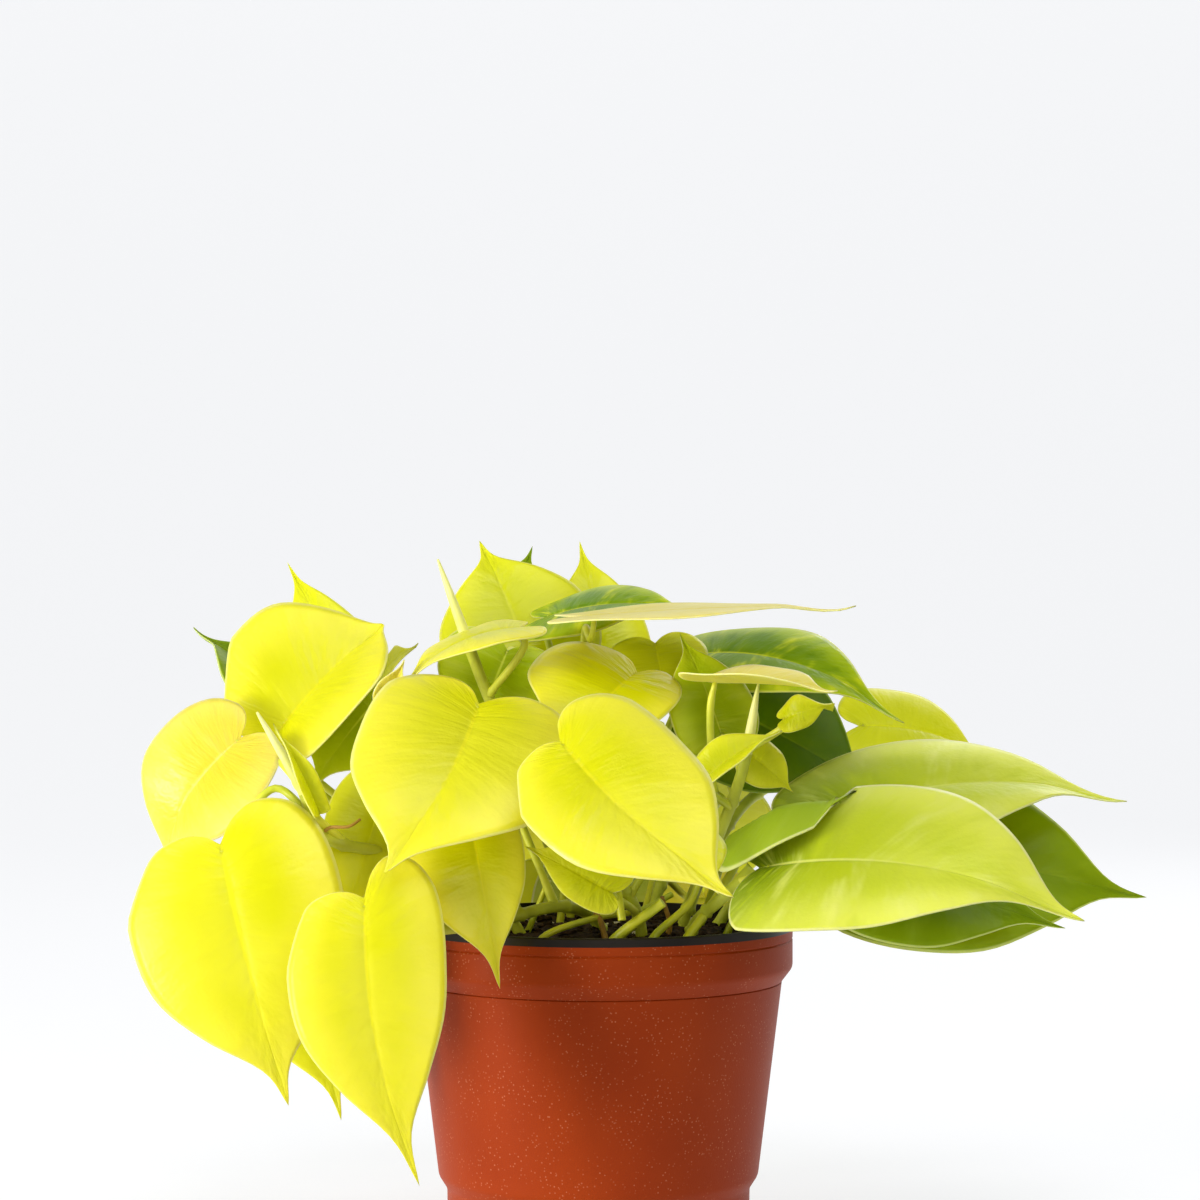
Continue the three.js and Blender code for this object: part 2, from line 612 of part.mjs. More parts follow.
// A stem's solid, or with a clearance the room that its neighbours leave for it
function stemSolid(vine, clearance) {
  const spikeStart = 0.78;
  const radiusAt = (share) => {
    const spike = vine.pointed ? Math.max(0, (share - spikeStart) / (1 - spikeStart)) : 0;
    return STEM_RADIUS * (1 - 0.8 * spike * spike) + clearance;
  };
  return tubeAlong(vine.curve, radiusAt, STEM_SIDES, STEM_STEPS_PER_POINT * vine.points.length);
}

for (const vine of Object.values(VINES)) {
  const places = vine.points.map((place) => new THREE.Vector3(...place));
  vine.curve = new THREE.CatmullRomCurve3(places, false, "centripetal");
  vine.solid = stemSolid(vine, 0);
  vine.room = stemSolid(vine, CLEARANCE);
}

// The largest body of a solid, without the scraps that a cut may leave
function mainBody(solid) {
  const bodies = solid.decompose();
  bodies.sort((first, second) => second.volume() - first.volume());
  return bodies[0];
}

// The blade and petiole of one leaf, as one body
function leafSolid(leaf, root) {
  const frame = leafFrame(leaf);
  return bladeSolid(leaf, frame).add(petioleSolid(leaf, frame, root));
}

const plant = new THREE.Group();
plant.add(meshOf("pot", potSolid(), { color: "#a8401f", roughness: 0.55 }));

for (const entry of YOUNG_LEAVES) {
  const vine = VINES[entry.vine];
  const leaf = { ...LEAF_DEFAULTS, rings: 1, ...entry };
  vine.solid = vine.solid.add(leafSolid(leaf, vine.curve.getPointAt(leaf.at)));
}

let soil = solidOf(soilGeometry());
for (const [name, vine] of Object.entries(VINES)) {
  soil = soil.subtract(vine.room);
  plant.add(meshOf(`stem_${name}`, vine.solid, { color: "#8f9a2c", roughness: 0.5 }));
}
plant.add(meshOf("soil", soil, { color: "#2b1d16", roughness: 0.95 }));

for (const leaf of leaves) {
  const vine = VINES[leaf.vine];
  const solid = mainBody(leafSolid(leaf, vine.curve.getPointAt(leaf.at)).subtract(vine.room));
  plant.add(meshOf(leaf.name, solid, leaf.look));
}

export default plant;
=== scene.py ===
import math
import random

import bmesh
import bpy
from mathutils import Matrix, Vector, noise


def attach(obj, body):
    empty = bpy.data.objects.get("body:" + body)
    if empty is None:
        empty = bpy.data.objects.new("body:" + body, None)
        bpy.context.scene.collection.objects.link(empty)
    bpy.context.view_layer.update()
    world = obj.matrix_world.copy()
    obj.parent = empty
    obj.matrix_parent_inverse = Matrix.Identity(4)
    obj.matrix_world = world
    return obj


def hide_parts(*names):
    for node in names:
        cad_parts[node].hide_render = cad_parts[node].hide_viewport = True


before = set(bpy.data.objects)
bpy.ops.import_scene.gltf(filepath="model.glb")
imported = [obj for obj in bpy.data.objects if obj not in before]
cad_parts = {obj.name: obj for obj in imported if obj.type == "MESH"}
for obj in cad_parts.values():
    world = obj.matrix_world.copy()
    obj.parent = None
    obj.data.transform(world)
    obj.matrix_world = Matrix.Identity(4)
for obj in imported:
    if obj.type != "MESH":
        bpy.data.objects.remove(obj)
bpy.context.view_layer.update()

# The studio: a level camera at the height of the leaves, a sweep of pale paper as floor and
# background that glows softly behind the plant, soft lights on the left, low on the left near
# the floor and above, and weaker ones in front, behind and on the right.
camera_data = bpy.data.cameras.new("camera")
camera_data.lens = 99.5
camera_data.sensor_width = 36
camera = bpy.data.objects.new("camera", camera_data)
camera.location = (0.0006, -1.3, 0.243)
camera.rotation_euler = (math.radians(90), 0, 0)
bpy.context.collection.objects.link(camera)
bpy.context.scene.camera = camera
bpy.context.scene.view_settings.view_transform = "Standard"


def colour(code):
    """A colour written as a painter's hex code, as the shader wants it."""
    channels = []
    for start in (1, 3, 5):
        value = int(code[start:start + 2], 16) / 255
        if value <= 0.04045:
            channels.append(value / 12.92)
        else:
            channels.append(((value + 0.055) / 1.055) ** 2.4)
    return (*channels, 1)


def new_finish(name):
    """An empty finish: the material, its node tree and its shader."""
    finish = bpy.data.materials.new(name)
    finish.use_nodes = True
    return finish, finish.node_tree, finish.node_tree.nodes["Principled BSDF"]


def piece_from(name, shape, finishes, smooth=True):
    """Turns a finished bmesh into an object at the origin with its finishes."""
    mesh = bpy.data.meshes.new(name)
    shape.to_mesh(mesh)
    shape.free()
    for finish in finishes:
        mesh.materials.append(finish)
    if smooth:
        mesh.shade_smooth()
    piece = bpy.data.objects.new(name, mesh)
    bpy.context.collection.objects.link(piece)
    return piece


def strength_between(tree, source, low, high, at_low, at_high, smooth=True):
    """A strength that goes from one value to another while its source goes from low to high."""
    step = tree.nodes.new("ShaderNodeMapRange")
    step.interpolation_type = "SMOOTHSTEP" if smooth else "LINEAR"
    step.inputs["From Min"].default_value = low
    step.inputs["From Max"].default_value = high
    step.inputs["To Min"].default_value = at_low
    step.inputs["To Max"].default_value = at_high
    tree.links.new(source, step.inputs["Value"])
    return step.outputs["Result"]


paper, tree, shader = new_finish("studio_paper")
shader.inputs["Base Color"].default_value = (0.3, 0.3, 0.3, 1)
shader.inputs["Roughness"].default_value = 0.9
shader.inputs["Specular IOR Level"].default_value = 0
shader.inputs["Emission Color"].default_value = (0.97, 0.98, 1, 1)
place = tree.nodes.new("ShaderNodeTexCoord").outputs["Object"]
depth = tree.nodes.new("ShaderNodeSeparateXYZ")
tree.links.new(place, depth.inputs["Vector"])
glow = strength_between(tree, depth.outputs["Y"], low=-0.5, high=0.1, at_low=0.1, at_high=0.78)
tree.links.new(glow, shader.inputs["Emission Strength"])

PAPER_LENGTH = 9
PAPER_WIDTH = 10
FLOOR_FRONT = -2.5
FLOOR_BACK = 2
SWEEP_RADIUS = 1.2
sweep = bmesh.new()
bmesh.ops.create_grid(sweep, x_segments=1, y_segments=60, size=1)
for corner in sweep.verts:
    run = (corner.co.y + 1) / 2 * PAPER_LENGTH
    past_floor = run - (FLOOR_BACK - FLOOR_FRONT)
    turn = past_floor / SWEEP_RADIUS
    corner.co.x *= PAPER_WIDTH / 2
    if past_floor < 0:
        corner.co.y = FLOOR_FRONT + run
        corner.co.z = 0
    elif turn < math.pi / 2:
        corner.co.y = FLOOR_BACK + SWEEP_RADIUS * math.sin(turn)
        corner.co.z = SWEEP_RADIUS * (1 - math.cos(turn))
    else:
        corner.co.y = FLOOR_BACK + SWEEP_RADIUS
        corner.co.z = SWEEP_RADIUS + past_floor - SWEEP_RADIUS * math.pi / 2
floor = piece_from("studio_floor", sweep, [paper])


def soft_light(name, place, target, size, power, tint=(1, 1, 1)):
    """A square soft light that looks at a point."""
    lamp = bpy.data.lights.new(name, "AREA")
    lamp.size = size
    lamp.energy = power
    lamp.color = tint
    light = bpy.data.objects.new(name, lamp)
    light.location = place
    aim = Vector(target) - Vector(place)
    light.rotation_euler = aim.to_track_quat("-Z", "Y").to_euler()
    bpy.context.collection.objects.link(light)


soft_light("key_light", (-1.6, -0.95, 0.75), (0, 0, 0.12), 0.7, 12.5, (1, 0.985, 0.95))
soft_light("low_light", (-1.2, -0.7, 0.13), (-0.03, 0, 0.05), 0.4, 15, (1, 0.97, 0.92))
soft_light("top_light", (0.15, -0.75, 1.6), (0, 0, 0.15), 1.0, 13)
soft_light("front_light", (0.35, -1.7, 0.7), (0, 0, 0.2), 0.8, 6)
soft_light("back_light", (0.7, 1.4, 1.1), (0, 0, 0.2), 0.9, 6)
soft_light("fill_light", (1.5, -1.4, 0.5), (0, 0, 0.15), 1.2, 0.5)
world = bpy.data.worlds.new("studio_world")
world.use_nodes = True
world.node_tree.nodes["Background"].inputs["Color"].default_value = (0.94, 0.96, 1, 1)
world.node_tree.nodes["Background"].inputs["Strength"].default_value = 0.17
bpy.context.scene.world = world

# The pot: thin moulded plastic with a deeper band round the rim, a fine groove under the lip,
# a bevelled foot and drain holes in its floor. It is terracotta outside and black inside and
# at the lip, with a fine stipple from the mould and pale specks of dust.
MM = 0.001
RIM_RADIUS = 76 * MM
BAND_BOTTOM = 100 * MM
CREASE = (71.8 * MM, 94.5 * MM)
SHOULDER = (62.5 * MM, 18.8 * MM)
FOOT = (59.2 * MM, 13.7 * MM)
FOOT_BEVEL = 1.5 * MM
GROOVE = 111 * MM
GROOVE_DEPTH = 0.45 * MM
EDGE_ROUND = 0.6 * MM
RING_ROUND = 1.2 * MM
POT_HEIGHT = 118 * MM
POT_WALL = 1.4 * MM
POT_FLOOR = 1.8 * MM
LIP_HEIGHT = 3.4 * MM
POT_SIDES = 128
DRAIN_COUNT = 8
DRAIN_CIRCLE = 46 * MM
DRAIN_RADIUS = 4 * MM


def turned(profile, sides):
    """A wall turned about the pot's axis from (radius, height) pairs, closed at both ends."""
    shape = bmesh.new()
    corners = [shape.verts.new((radius, 0, height)) for radius, height in profile]
    for first, second in zip(corners, corners[1:]):
        shape.edges.new((first, second))
    bmesh.ops.spin(
        shape, geom=shape.verts[:] + shape.edges[:], cent=(0, 0, 0), axis=(0, 0, 1),
        angle=2 * math.pi, steps=sides, use_merge=True,
    )
    bmesh.ops.remove_doubles(shape, verts=shape.verts[:], dist=1e-6)
    bmesh.ops.recalc_face_normals(shape, faces=shape.faces[:])
    return shape


pot_profile = [
    (0, 0),
    (FOOT[0] - 1.7 * MM, 0),
    (FOOT[0] - 0.2 * MM, FOOT_BEVEL),
    FOOT,
    SHOULDER,
    (CREASE[0] - 0.02 * MM, CREASE[1] - 0.5 * MM),
    (CREASE[0] - 0.6 * MM, CREASE[1] - 0.1 * MM),
    CREASE,
    (RIM_RADIUS, BAND_BOTTOM),
    (RIM_RADIUS, GROOVE - EDGE_ROUND),
    (RIM_RADIUS - GROOVE_DEPTH, GROOVE),
    (RIM_RADIUS, GROOVE + EDGE_ROUND),
    (RIM_RADIUS, POT_HEIGHT - LIP_HEIGHT),
    (RIM_RADIUS, POT_HEIGHT - EDGE_ROUND),
    (RIM_RADIUS - EDGE_ROUND, POT_HEIGHT),
    (RIM_RADIUS - POT_WALL, POT_HEIGHT),
    (RIM_RADIUS - POT_WALL, BAND_BOTTOM + EDGE_ROUND),
    (CREASE[0] - POT_WALL, CREASE[1] + EDGE_ROUND),
    (SHOULDER[0] - POT_WALL, SHOULDER[1]),
    (FOOT[0] - POT_WALL, FOOT[1]),
    (FOOT[0] - POT_WALL, POT_FLOOR),
    (0, POT_FLOOR),
]
pot_shape = turned(pot_profile, POT_SIDES)
rounded_heights = (FOOT_BEVEL, FOOT[1], SHOULDER[1], BAND_BOTTOM)
soft_rings = []
for edge in pot_shape.edges:
    first, second = edge.verts
    height = first.co.z
    level = abs(second.co.z - height) < 1e-7
    outside = math.hypot(first.co.x, first.co.y) > FOOT[0] - 0.5 * MM
    if level and outside and any(abs(height - ring) < 1e-6 for ring in rounded_heights):
        soft_rings.append(edge)
bmesh.ops.bevel(
    pot_shape, geom=soft_rings, offset=RING_ROUND, segments=4, profile=0.5, affect="EDGES", material=-1,
)
for face in pot_shape.faces:
    middle = face.calc_center_median()
    inside = face.normal.x * middle.x + face.normal.y * middle.y < -1e-7
    floor_inside = face.normal.z > 0.9 and middle.z < 3 * MM
    lip = middle.z > POT_HEIGHT - LIP_HEIGHT
    face.material_index = 1 if inside or floor_inside or lip else 0


def noise_pattern(tree, place, scale, detail=2):
    """A cloudy pattern, from coarse to fine by its scale."""
    pattern = tree.nodes.new("ShaderNodeTexNoise")
    pattern.inputs["Scale"].default_value = scale
    pattern.inputs["Detail"].default_value = detail
    tree.links.new(place, pattern.inputs["Vector"])
    return pattern.outputs["Fac"]


def product(tree, first, second):
    """One strength times another."""
    times = tree.nodes.new("ShaderNodeMath")
    times.operation = "MULTIPLY"
    tree.links.new(first, times.inputs[0])
    tree.links.new(second, times.inputs[1])
    return times.outputs["Value"]


def laid_over(tree, under, over, strength):
    """A colour laid over another one, or over what lies there already, by a strength."""
    mix = tree.nodes.new("ShaderNodeMix")
    mix.data_type = "RGBA"
    tree.links.new(strength, mix.inputs[0])
    if isinstance(under, str):
        mix.inputs[6].default_value = colour(under)
    else:
        tree.links.new(under, mix.inputs[6])
    mix.inputs[7].default_value = colour(over)
    return mix.outputs[2]


def raise_relief(tree, shader, height, strength, distance):
    """A fine relief on the surface, raised by a pattern."""
    relief = tree.nodes.new("ShaderNodeBump")
    relief.inputs["Strength"].default_value = strength
    relief.inputs["Distance"].default_value = distance
    tree.links.new(height, relief.inputs["Height"])
    tree.links.new(relief.outputs["Normal"], shader.inputs["Normal"])


terracotta, tree, shader = new_finish("terracotta_plastic")
place = tree.nodes.new("ShaderNodeTexCoord").outputs["Object"]
clay = laid_over(tree, "#a63e0c", "#8c2c04", noise_pattern(tree, place, scale=22, detail=4))
dust = tree.nodes.new("ShaderNodeTexVoronoi")
dust.inputs["Scale"].default_value = 640
tree.links.new(place, dust.inputs["Vector"])
speck = strength_between(tree, dust.outputs["Distance"], 0.14, 0.24, 1, 0, smooth=False)
drift = noise_pattern(tree, place, scale=70)
patch = strength_between(tree, drift, 0.38, 0.58, 0, 0.38, smooth=False)
dusty = laid_over(tree, clay, "#d98a66", product(tree, speck, patch))
tree.links.new(dusty, shader.inputs["Base Color"])
stipple = noise_pattern(tree, place, scale=1500)
raise_relief(tree, shader, stipple, strength=0.35, distance=0.0002)
shader.inputs["Roughness"].default_value = 0.48
shader.inputs["IOR"].default_value = 1.2

black_plastic, tree, shader = new_finish("black_plastic")
place = tree.nodes.new("ShaderNodeTexCoord").outputs["Object"]
scuffed = laid_over(tree, "#17130f", "#2b2420", noise_pattern(tree, place, scale=90, detail=5))
tree.links.new(scuffed, shader.inputs["Base Color"])
shader.inputs["Roughness"].default_value = 0.38
shader.inputs["IOR"].default_value = 1.3

pot_wall = piece_from("pot_wall", pot_shape, [terracotta, black_plastic])
drills = bmesh.new()
for hole in range(DRAIN_COUNT):
    angle = hole * 2 * math.pi / DRAIN_COUNT
    spot = Matrix.Translation((DRAIN_CIRCLE * math.cos(angle), DRAIN_CIRCLE * math.sin(angle), 0))
    bmesh.ops.create_cone(
        drills, cap_ends=True, segments=24, radius1=DRAIN_RADIUS, radius2=DRAIN_RADIUS,
        depth=8 * MM, matrix=spot,
    )
drill_piece = piece_from("drills", drills, [])
boring = pot_wall.modifiers.new("drain_holes", "BOOLEAN")
boring.operation = "DIFFERENCE"
boring.solver = "EXACT"
boring.object = drill_piece
bored = bpy.data.meshes.new_from_object(pot_wall.evaluated_get(bpy.context.evaluated_depsgraph_get()))
pot_wall.modifiers.clear()
pot_wall.data = bored
bpy.data.objects.remove(drill_piece)
pot_wall.data.set_sharp_from_angle(angle=math.radians(32))
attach(pot_wall, "root")
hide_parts("pot")

# The potting mix: peat and bark, filling the pot to just under the lip and mounded in the
# middle, with crumbs of bark and small pale bits of perlite on top.
SOIL_EDGE = 111 * MM
SOIL_MOUND = 7 * MM
SOIL_CLEARANCE = 0.3 * MM
SOIL_CREASE_RISE = 0.9 * MM
MOUND_FALL = 2.2
LUMP_FALL = 8
LUMP_SCALE = 60
LUMP_HEIGHT = 1.6 * MM
GRIT_SCALE = 190
GRIT_HEIGHT = 1.2 * MM
SOIL_SIDES = 120
SOIL_RINGS = 36
soil_gap = POT_WALL + SOIL_CLEARANCE
soil_edge_radius = RIM_RADIUS - soil_gap


def soil_height(x, y):
    """The height of the soil's lumpy top at a place."""
    part = min(1, math.hypot(x, y) / soil_edge_radius)
    mound = SOIL_MOUND * (1 - part ** MOUND_FALL)
    lumps = noise.noise((x * LUMP_SCALE, y * LUMP_SCALE, 0)) * LUMP_HEIGHT
    grit = noise.noise((x * GRIT_SCALE, y * GRIT_SCALE, 3)) * GRIT_HEIGHT
    return SOIL_EDGE + mound + (lumps + grit) * (1 - part ** LUMP_FALL)


soil_profile = [
    (0, POT_FLOOR + SOIL_CLEARANCE),
    (FOOT[0] - soil_gap, POT_FLOOR + SOIL_CLEARANCE),
    (FOOT[0] - soil_gap, FOOT[1]),
    (SHOULDER[0] - soil_gap, SHOULDER[1]),
    (CREASE[0] - soil_gap, CREASE[1] + SOIL_CREASE_RISE),
    (soil_edge_radius, BAND_BOTTOM + SOIL_CREASE_RISE),
    (soil_edge_radius, SOIL_EDGE),
]
for ring in range(1, SOIL_RINGS + 1):
    soil_profile.append((soil_edge_radius * (1 - ring / SOIL_RINGS), SOIL_EDGE))
soil_shape = turned(soil_profile, SOIL_SIDES)
for corner in soil_shape.verts:
    if corner.co.z > SOIL_EDGE - 0.1 * MM:
        corner.co.z = soil_height(corner.co.x, corner.co.y)


def toned(tree, source, low, dark, high, light):
    """A colour that goes from dark to light while its source goes from low to high."""
    ramp = tree.nodes.new("ShaderNodeValToRGB")
    ramp.color_ramp.elements[0].position = low
    ramp.color_ramp.elements[0].color = colour(dark)
    ramp.color_ramp.elements[1].position = high
    ramp.color_ramp.elements[1].color = colour(light)
    tree.links.new(source, ramp.inputs["Fac"])
    return ramp.outputs["Color"]


potting_mix, tree, shader = new_finish("potting_mix")
place = tree.nodes.new("ShaderNodeTexCoord").outputs["Object"]
crumb = noise_pattern(tree, place, scale=420, detail=6)
tree.links.new(toned(tree, crumb, 0.35, "#120c09", 0.72, "#4a3526"), shader.inputs["Base Color"])
raise_relief(tree, shader, crumb, strength=0.9, distance=0.001)
shader.inputs["Roughness"].default_value = 0.95
shader.inputs["Specular IOR Level"].default_value = 0.15

soil = piece_from("soil_bed", soil_shape, [potting_mix])
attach(soil, "root")
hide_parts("soil")

perlite, tree, shader = new_finish("perlite")
place = tree.nodes.new("ShaderNodeTexCoord").outputs["Object"]
chalk = laid_over(tree, "#b9ab95", "#e8e0d0", noise_pattern(tree, place, scale=900))
tree.links.new(chalk, shader.inputs["Base Color"])
shader.inputs["Roughness"].default_value = 0.85

CRUMB_COUNT = 620
PERLITE_EVERY = 9
BARK_SIZES = (0.8, 2.4)
PERLITE_SIZES = (0.6, 1.3)
CRUMB_ROUGHNESS = 0.35
CRUMB_ROUGHNESS_SCALE = 700
CRUMB_REACH = soil_edge_radius - 3 * MM
crumbs = bmesh.new()

# Both seeds are set, so that the crumbs lie and look the same each time.
scatter = random.Random(4)
noise.seed_set(4)
for number in range(CRUMB_COUNT):
    reach = CRUMB_REACH * math.sqrt(scatter.random())
    angle = scatter.uniform(0, 2 * math.pi)
    pale = number % PERLITE_EVERY == 0
    size = scatter.uniform(*(PERLITE_SIZES if pale else BARK_SIZES)) * MM
    x = reach * math.cos(angle)
    y = reach * math.sin(angle)
    turn = Matrix.Rotation(scatter.uniform(0, math.pi), 4, "Z")
    turn = turn @ Matrix.Rotation(scatter.uniform(-0.5, 0.5), 4, "X")
    stretch = Matrix.Diagonal((size * scatter.uniform(1, 2.2), size, size * scatter.uniform(0.35, 0.7), 1))
    spot = Matrix.Translation((x, y, soil_height(x, y) + 0.2 * size))
    made = bmesh.ops.create_icosphere(crumbs, subdivisions=1, radius=1, matrix=spot @ turn @ stretch)
    for corner in made["verts"]:
        dent = noise.noise_vector(corner.co * CRUMB_ROUGHNESS_SCALE)
        corner.co += dent * size * CRUMB_ROUGHNESS
        for face in corner.link_faces:
            face.material_index = 1 if pale else 0
crumb_piece = piece_from("soil_crumbs", crumbs, [potting_mix, perlite], smooth=False)
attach(crumb_piece, "root")

# The vines: thin green stems, rooted as cuttings in the mix, swollen at each node with the
# ring scar of an old sheath. Three end in the rolled spike of a new leaf.
STEM_RADIUS = 2.5 * MM
NODES_ON_A_VINE = 5.5
NODE_LENGTH = 0.045
SPIKE_FROM = 0.78
SPIKE_LENGTH = 0.22
SPIKE_FIRST_STEP = 76
VINE_STEPS = 96
CURVE_STEPS = 32
VINES = {
    "front_left": {
        "points": [(-22, -26, 90), (-32, -34, 119), (-62, -45, 143), (-104, -55, 155), (-111, -56, 172),
                   (-128, -57, 201)],
        "pointed": True,
    },
    "over_rim": {
        "points": [(6, -20, 90), (0, -34, 119), (-12, -45, 127), (-42, -65, 122.5), (-64, -78, 121)],
    },
    "front": {"points": [(14, -28, 90), (16, -42, 119), (8, -54, 138), (-4, -56, 158)]},
    "front_right": {"points": [(32, -24, 90), (36, -40, 119), (46, -50, 130), (58, -50, 142)]},
    "sprig": {
        "points": [(28, -10, 90), (34, -16, 122), (46, -26, 152), (55, -33, 178), (61, -35, 211)],
        "pointed": True,
    },
    "right": {"points": [(42, 0, 90), (50, -2, 121), (80, -6, 138), (108, 2, 134)]},
    "right_back": {"points": [(30, 20, 90), (38, 30, 124), (58, 52, 158), (80, 70, 172)]},
    "centre": {"points": [(4, -4, 90), (6, -6, 125), (14, -4, 160), (24, 0, 186)]},
    "left": {"points": [(-36, 0, 90), (-48, 2, 122), (-80, 6, 148), (-104, 8, 160)]},
    "top": {
        "points": [(-6, 10, 90), (-12, 8, 125), (-28, 4, 168), (-46, 2, 212), (-54, 0, 234), (-63, 0, 259)],
        "pointed": True,
    },
    "back_right": {"points": [(14, 24, 90), (22, 34, 121), (36, 46, 146), (50, 62, 162)]},
    "back": {"points": [(-4, 30, 90), (-4, 40, 121), (-2, 58, 146), (-2, 78, 160)]},
    "back_left": {"points": [(-24, 22, 90), (-34, 32, 121), (-50, 46, 146), (-64, 60, 160)]},
}


def curved(start, end, leave, arrive, part):
    """A place on the curve that leaves its start and arrives at its end in given directions."""
    square = part * part
    cube = square * part
    return (
        start * (2 * cube - 3 * square + 1)
        + end * (3 * square - 2 * cube)
        + leave * (cube - 2 * square + part)
        + arrive * (cube - square)
    )


def curve_between(before, start, end, after, part):
    """A place between two of a stalk's points, on a smooth curve through all of them."""
    middle_gap = max(1e-4, (end - start).length ** 0.5)
    first_gap = (start - before).length ** 0.5 or middle_gap
    last_gap = (after - end).length ** 0.5 or middle_gap
    leave = (start - before) / first_gap - (end - before) / (first_gap + middle_gap)
    leave = (leave + (end - start) / middle_gap) * middle_gap
    arrive = (end - start) / middle_gap - (after - start) / (middle_gap + last_gap)
    arrive = (arrive + (after - end) / last_gap) * middle_gap
    return curved(start, end, leave, arrive, part)


def smooth_path(points, count):
    """A smooth path through a stalk's points, as count + 1 places at even distances."""
    first = points[0] * 2 - points[1]
    last = points[-1] * 2 - points[-2]
    ends = [first, *points, last]
    fine = [points[0].copy()]
    for step in range(len(points) - 1):
        for part in range(1, CURVE_STEPS + 1):
            fine.append(curve_between(*ends[step:step + 4], part / CURVE_STEPS))
    lengths = [0]
    for a, b in zip(fine, fine[1:]):
        lengths.append(lengths[-1] + (b - a).length)
    path = []
    place_at = 0
    for step in range(count + 1):
        target = lengths[-1] * step / count
        while place_at < len(fine) - 2 and lengths[place_at + 1] < target:
            place_at += 1
        span = lengths[place_at + 1] - lengths[place_at]
        part = min(1, max(0, (target - lengths[place_at]) / span))
        path.append(fine[place_at].lerp(fine[place_at + 1], part))
    return path


def grow_stalk(shape, path, radius_at, sides):
    """Grows a round stalk along a path by extruding a ring, and gives back its faces."""
    known = set(shape.faces)
    ring_frames = []
    steps = len(path) - 1
    for step, spot in enumerate(path):
        ahead = path[min(step + 1, steps)] - path[max(step - 1, 0)]
        turn = ahead.to_track_quat("Z", "Y") if step == 0 else heading.rotation_difference(ahead) @ turn
        heading = ahead
        radius = radius_at(step / steps)
        size = Matrix.Diagonal((radius, radius, radius, 1))
        ring_frames.append(Matrix.Translation(spot) @ turn.to_matrix().to_4x4() @ size)
    ring = bmesh.ops.create_circle(shape, cap_ends=True, segments=sides, radius=1, matrix=ring_frames[0])
    edges = list(dict.fromkeys(edge for corner in ring["verts"] for edge in corner.link_edges))
    for before, after in zip(ring_frames, ring_frames[1:]):
        grown = bmesh.ops.extrude_edge_only(shape, edges=edges)["geom"]
        corners = [item for item in grown if isinstance(item, bmesh.types.BMVert)]
        bmesh.ops.transform(shape, matrix=after @ before.inverted(), verts=corners)
        ring_set = set(corners)
        edges = [
            item for item in grown
            if isinstance(item, bmesh.types.BMEdge) and ring_set.issuperset(item.verts)
        ]
    bmesh.ops.edgeloop_fill(shape, edges=edges)
    faces = [face for face in shape.faces if face not in known]
    bmesh.ops.recalc_face_normals(shape, faces=faces)
    return faces


def stalk_finish(name, light, dark, roughness):
    """Smooth living stalk, lighter and darker in short streaks, with a faint grain."""
    finish, tree, shader = new_finish(name)
    place = tree.nodes.new("ShaderNodeTexCoord").outputs["Object"]
    streak = noise_pattern(tree, place, scale=55, detail=4)
    tree.links.new(toned(tree, streak, 0.34, dark, 0.62, light), shader.inputs["Base Color"])
    grain = noise_pattern(tree, place, scale=700)
    raise_relief(tree, shader, grain, strength=0.2, distance=0.0003)
    shader.inputs["Roughness"].default_value = roughness
    shader.inputs["Subsurface Weight"].default_value = 0.25
    shader.inputs["Subsurface Radius"].default_value = (1, 1, 0.3)
    shader.inputs["Subsurface Scale"].default_value = 0.002
    return finish


vine_finish = stalk_finish("vine_skin", "#d2d83c", "#a4a820", 0.45)
spike_finish = stalk_finish("spike_skin", "#f2f09a", "#d8dc60", 0.42)
vine_paths = {}
for name, vine in VINES.items():
    points = [Vector(point) * MM for point in vine["points"]]
    vine_paths[name] = smooth_path(points, VINE_STEPS)
    pointed = vine.get("pointed", False)

    def stem_radius(share):
        """The vine's radius, swollen at each node and drawn out to a point along a spike."""
        spike = max(0, (share - SPIKE_FROM) / SPIKE_LENGTH) if pointed else 0
        node = math.exp(-((share * NODES_ON_A_VINE % 1 - 0.5) / NODE_LENGTH) ** 2)
        return STEM_RADIUS * (1 - 0.8 * spike * spike) * (0.9 + 0.28 * node * (1 - spike))

    stem_shape = bmesh.new()
    for face in grow_stalk(stem_shape, vine_paths[name], stem_radius, 14):
        middle = face.calc_center_median()
        nearest = min(range(VINE_STEPS + 1), key=lambda step: (vine_paths[name][step] - middle).length)
        face.material_index = 1 if pointed and nearest > SPIKE_FIRST_STEP else 0
    stem = piece_from("vine_" + name, stem_shape, [vine_finish, spike_finish])
    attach(stem, "root")
    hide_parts("stem_" + name)

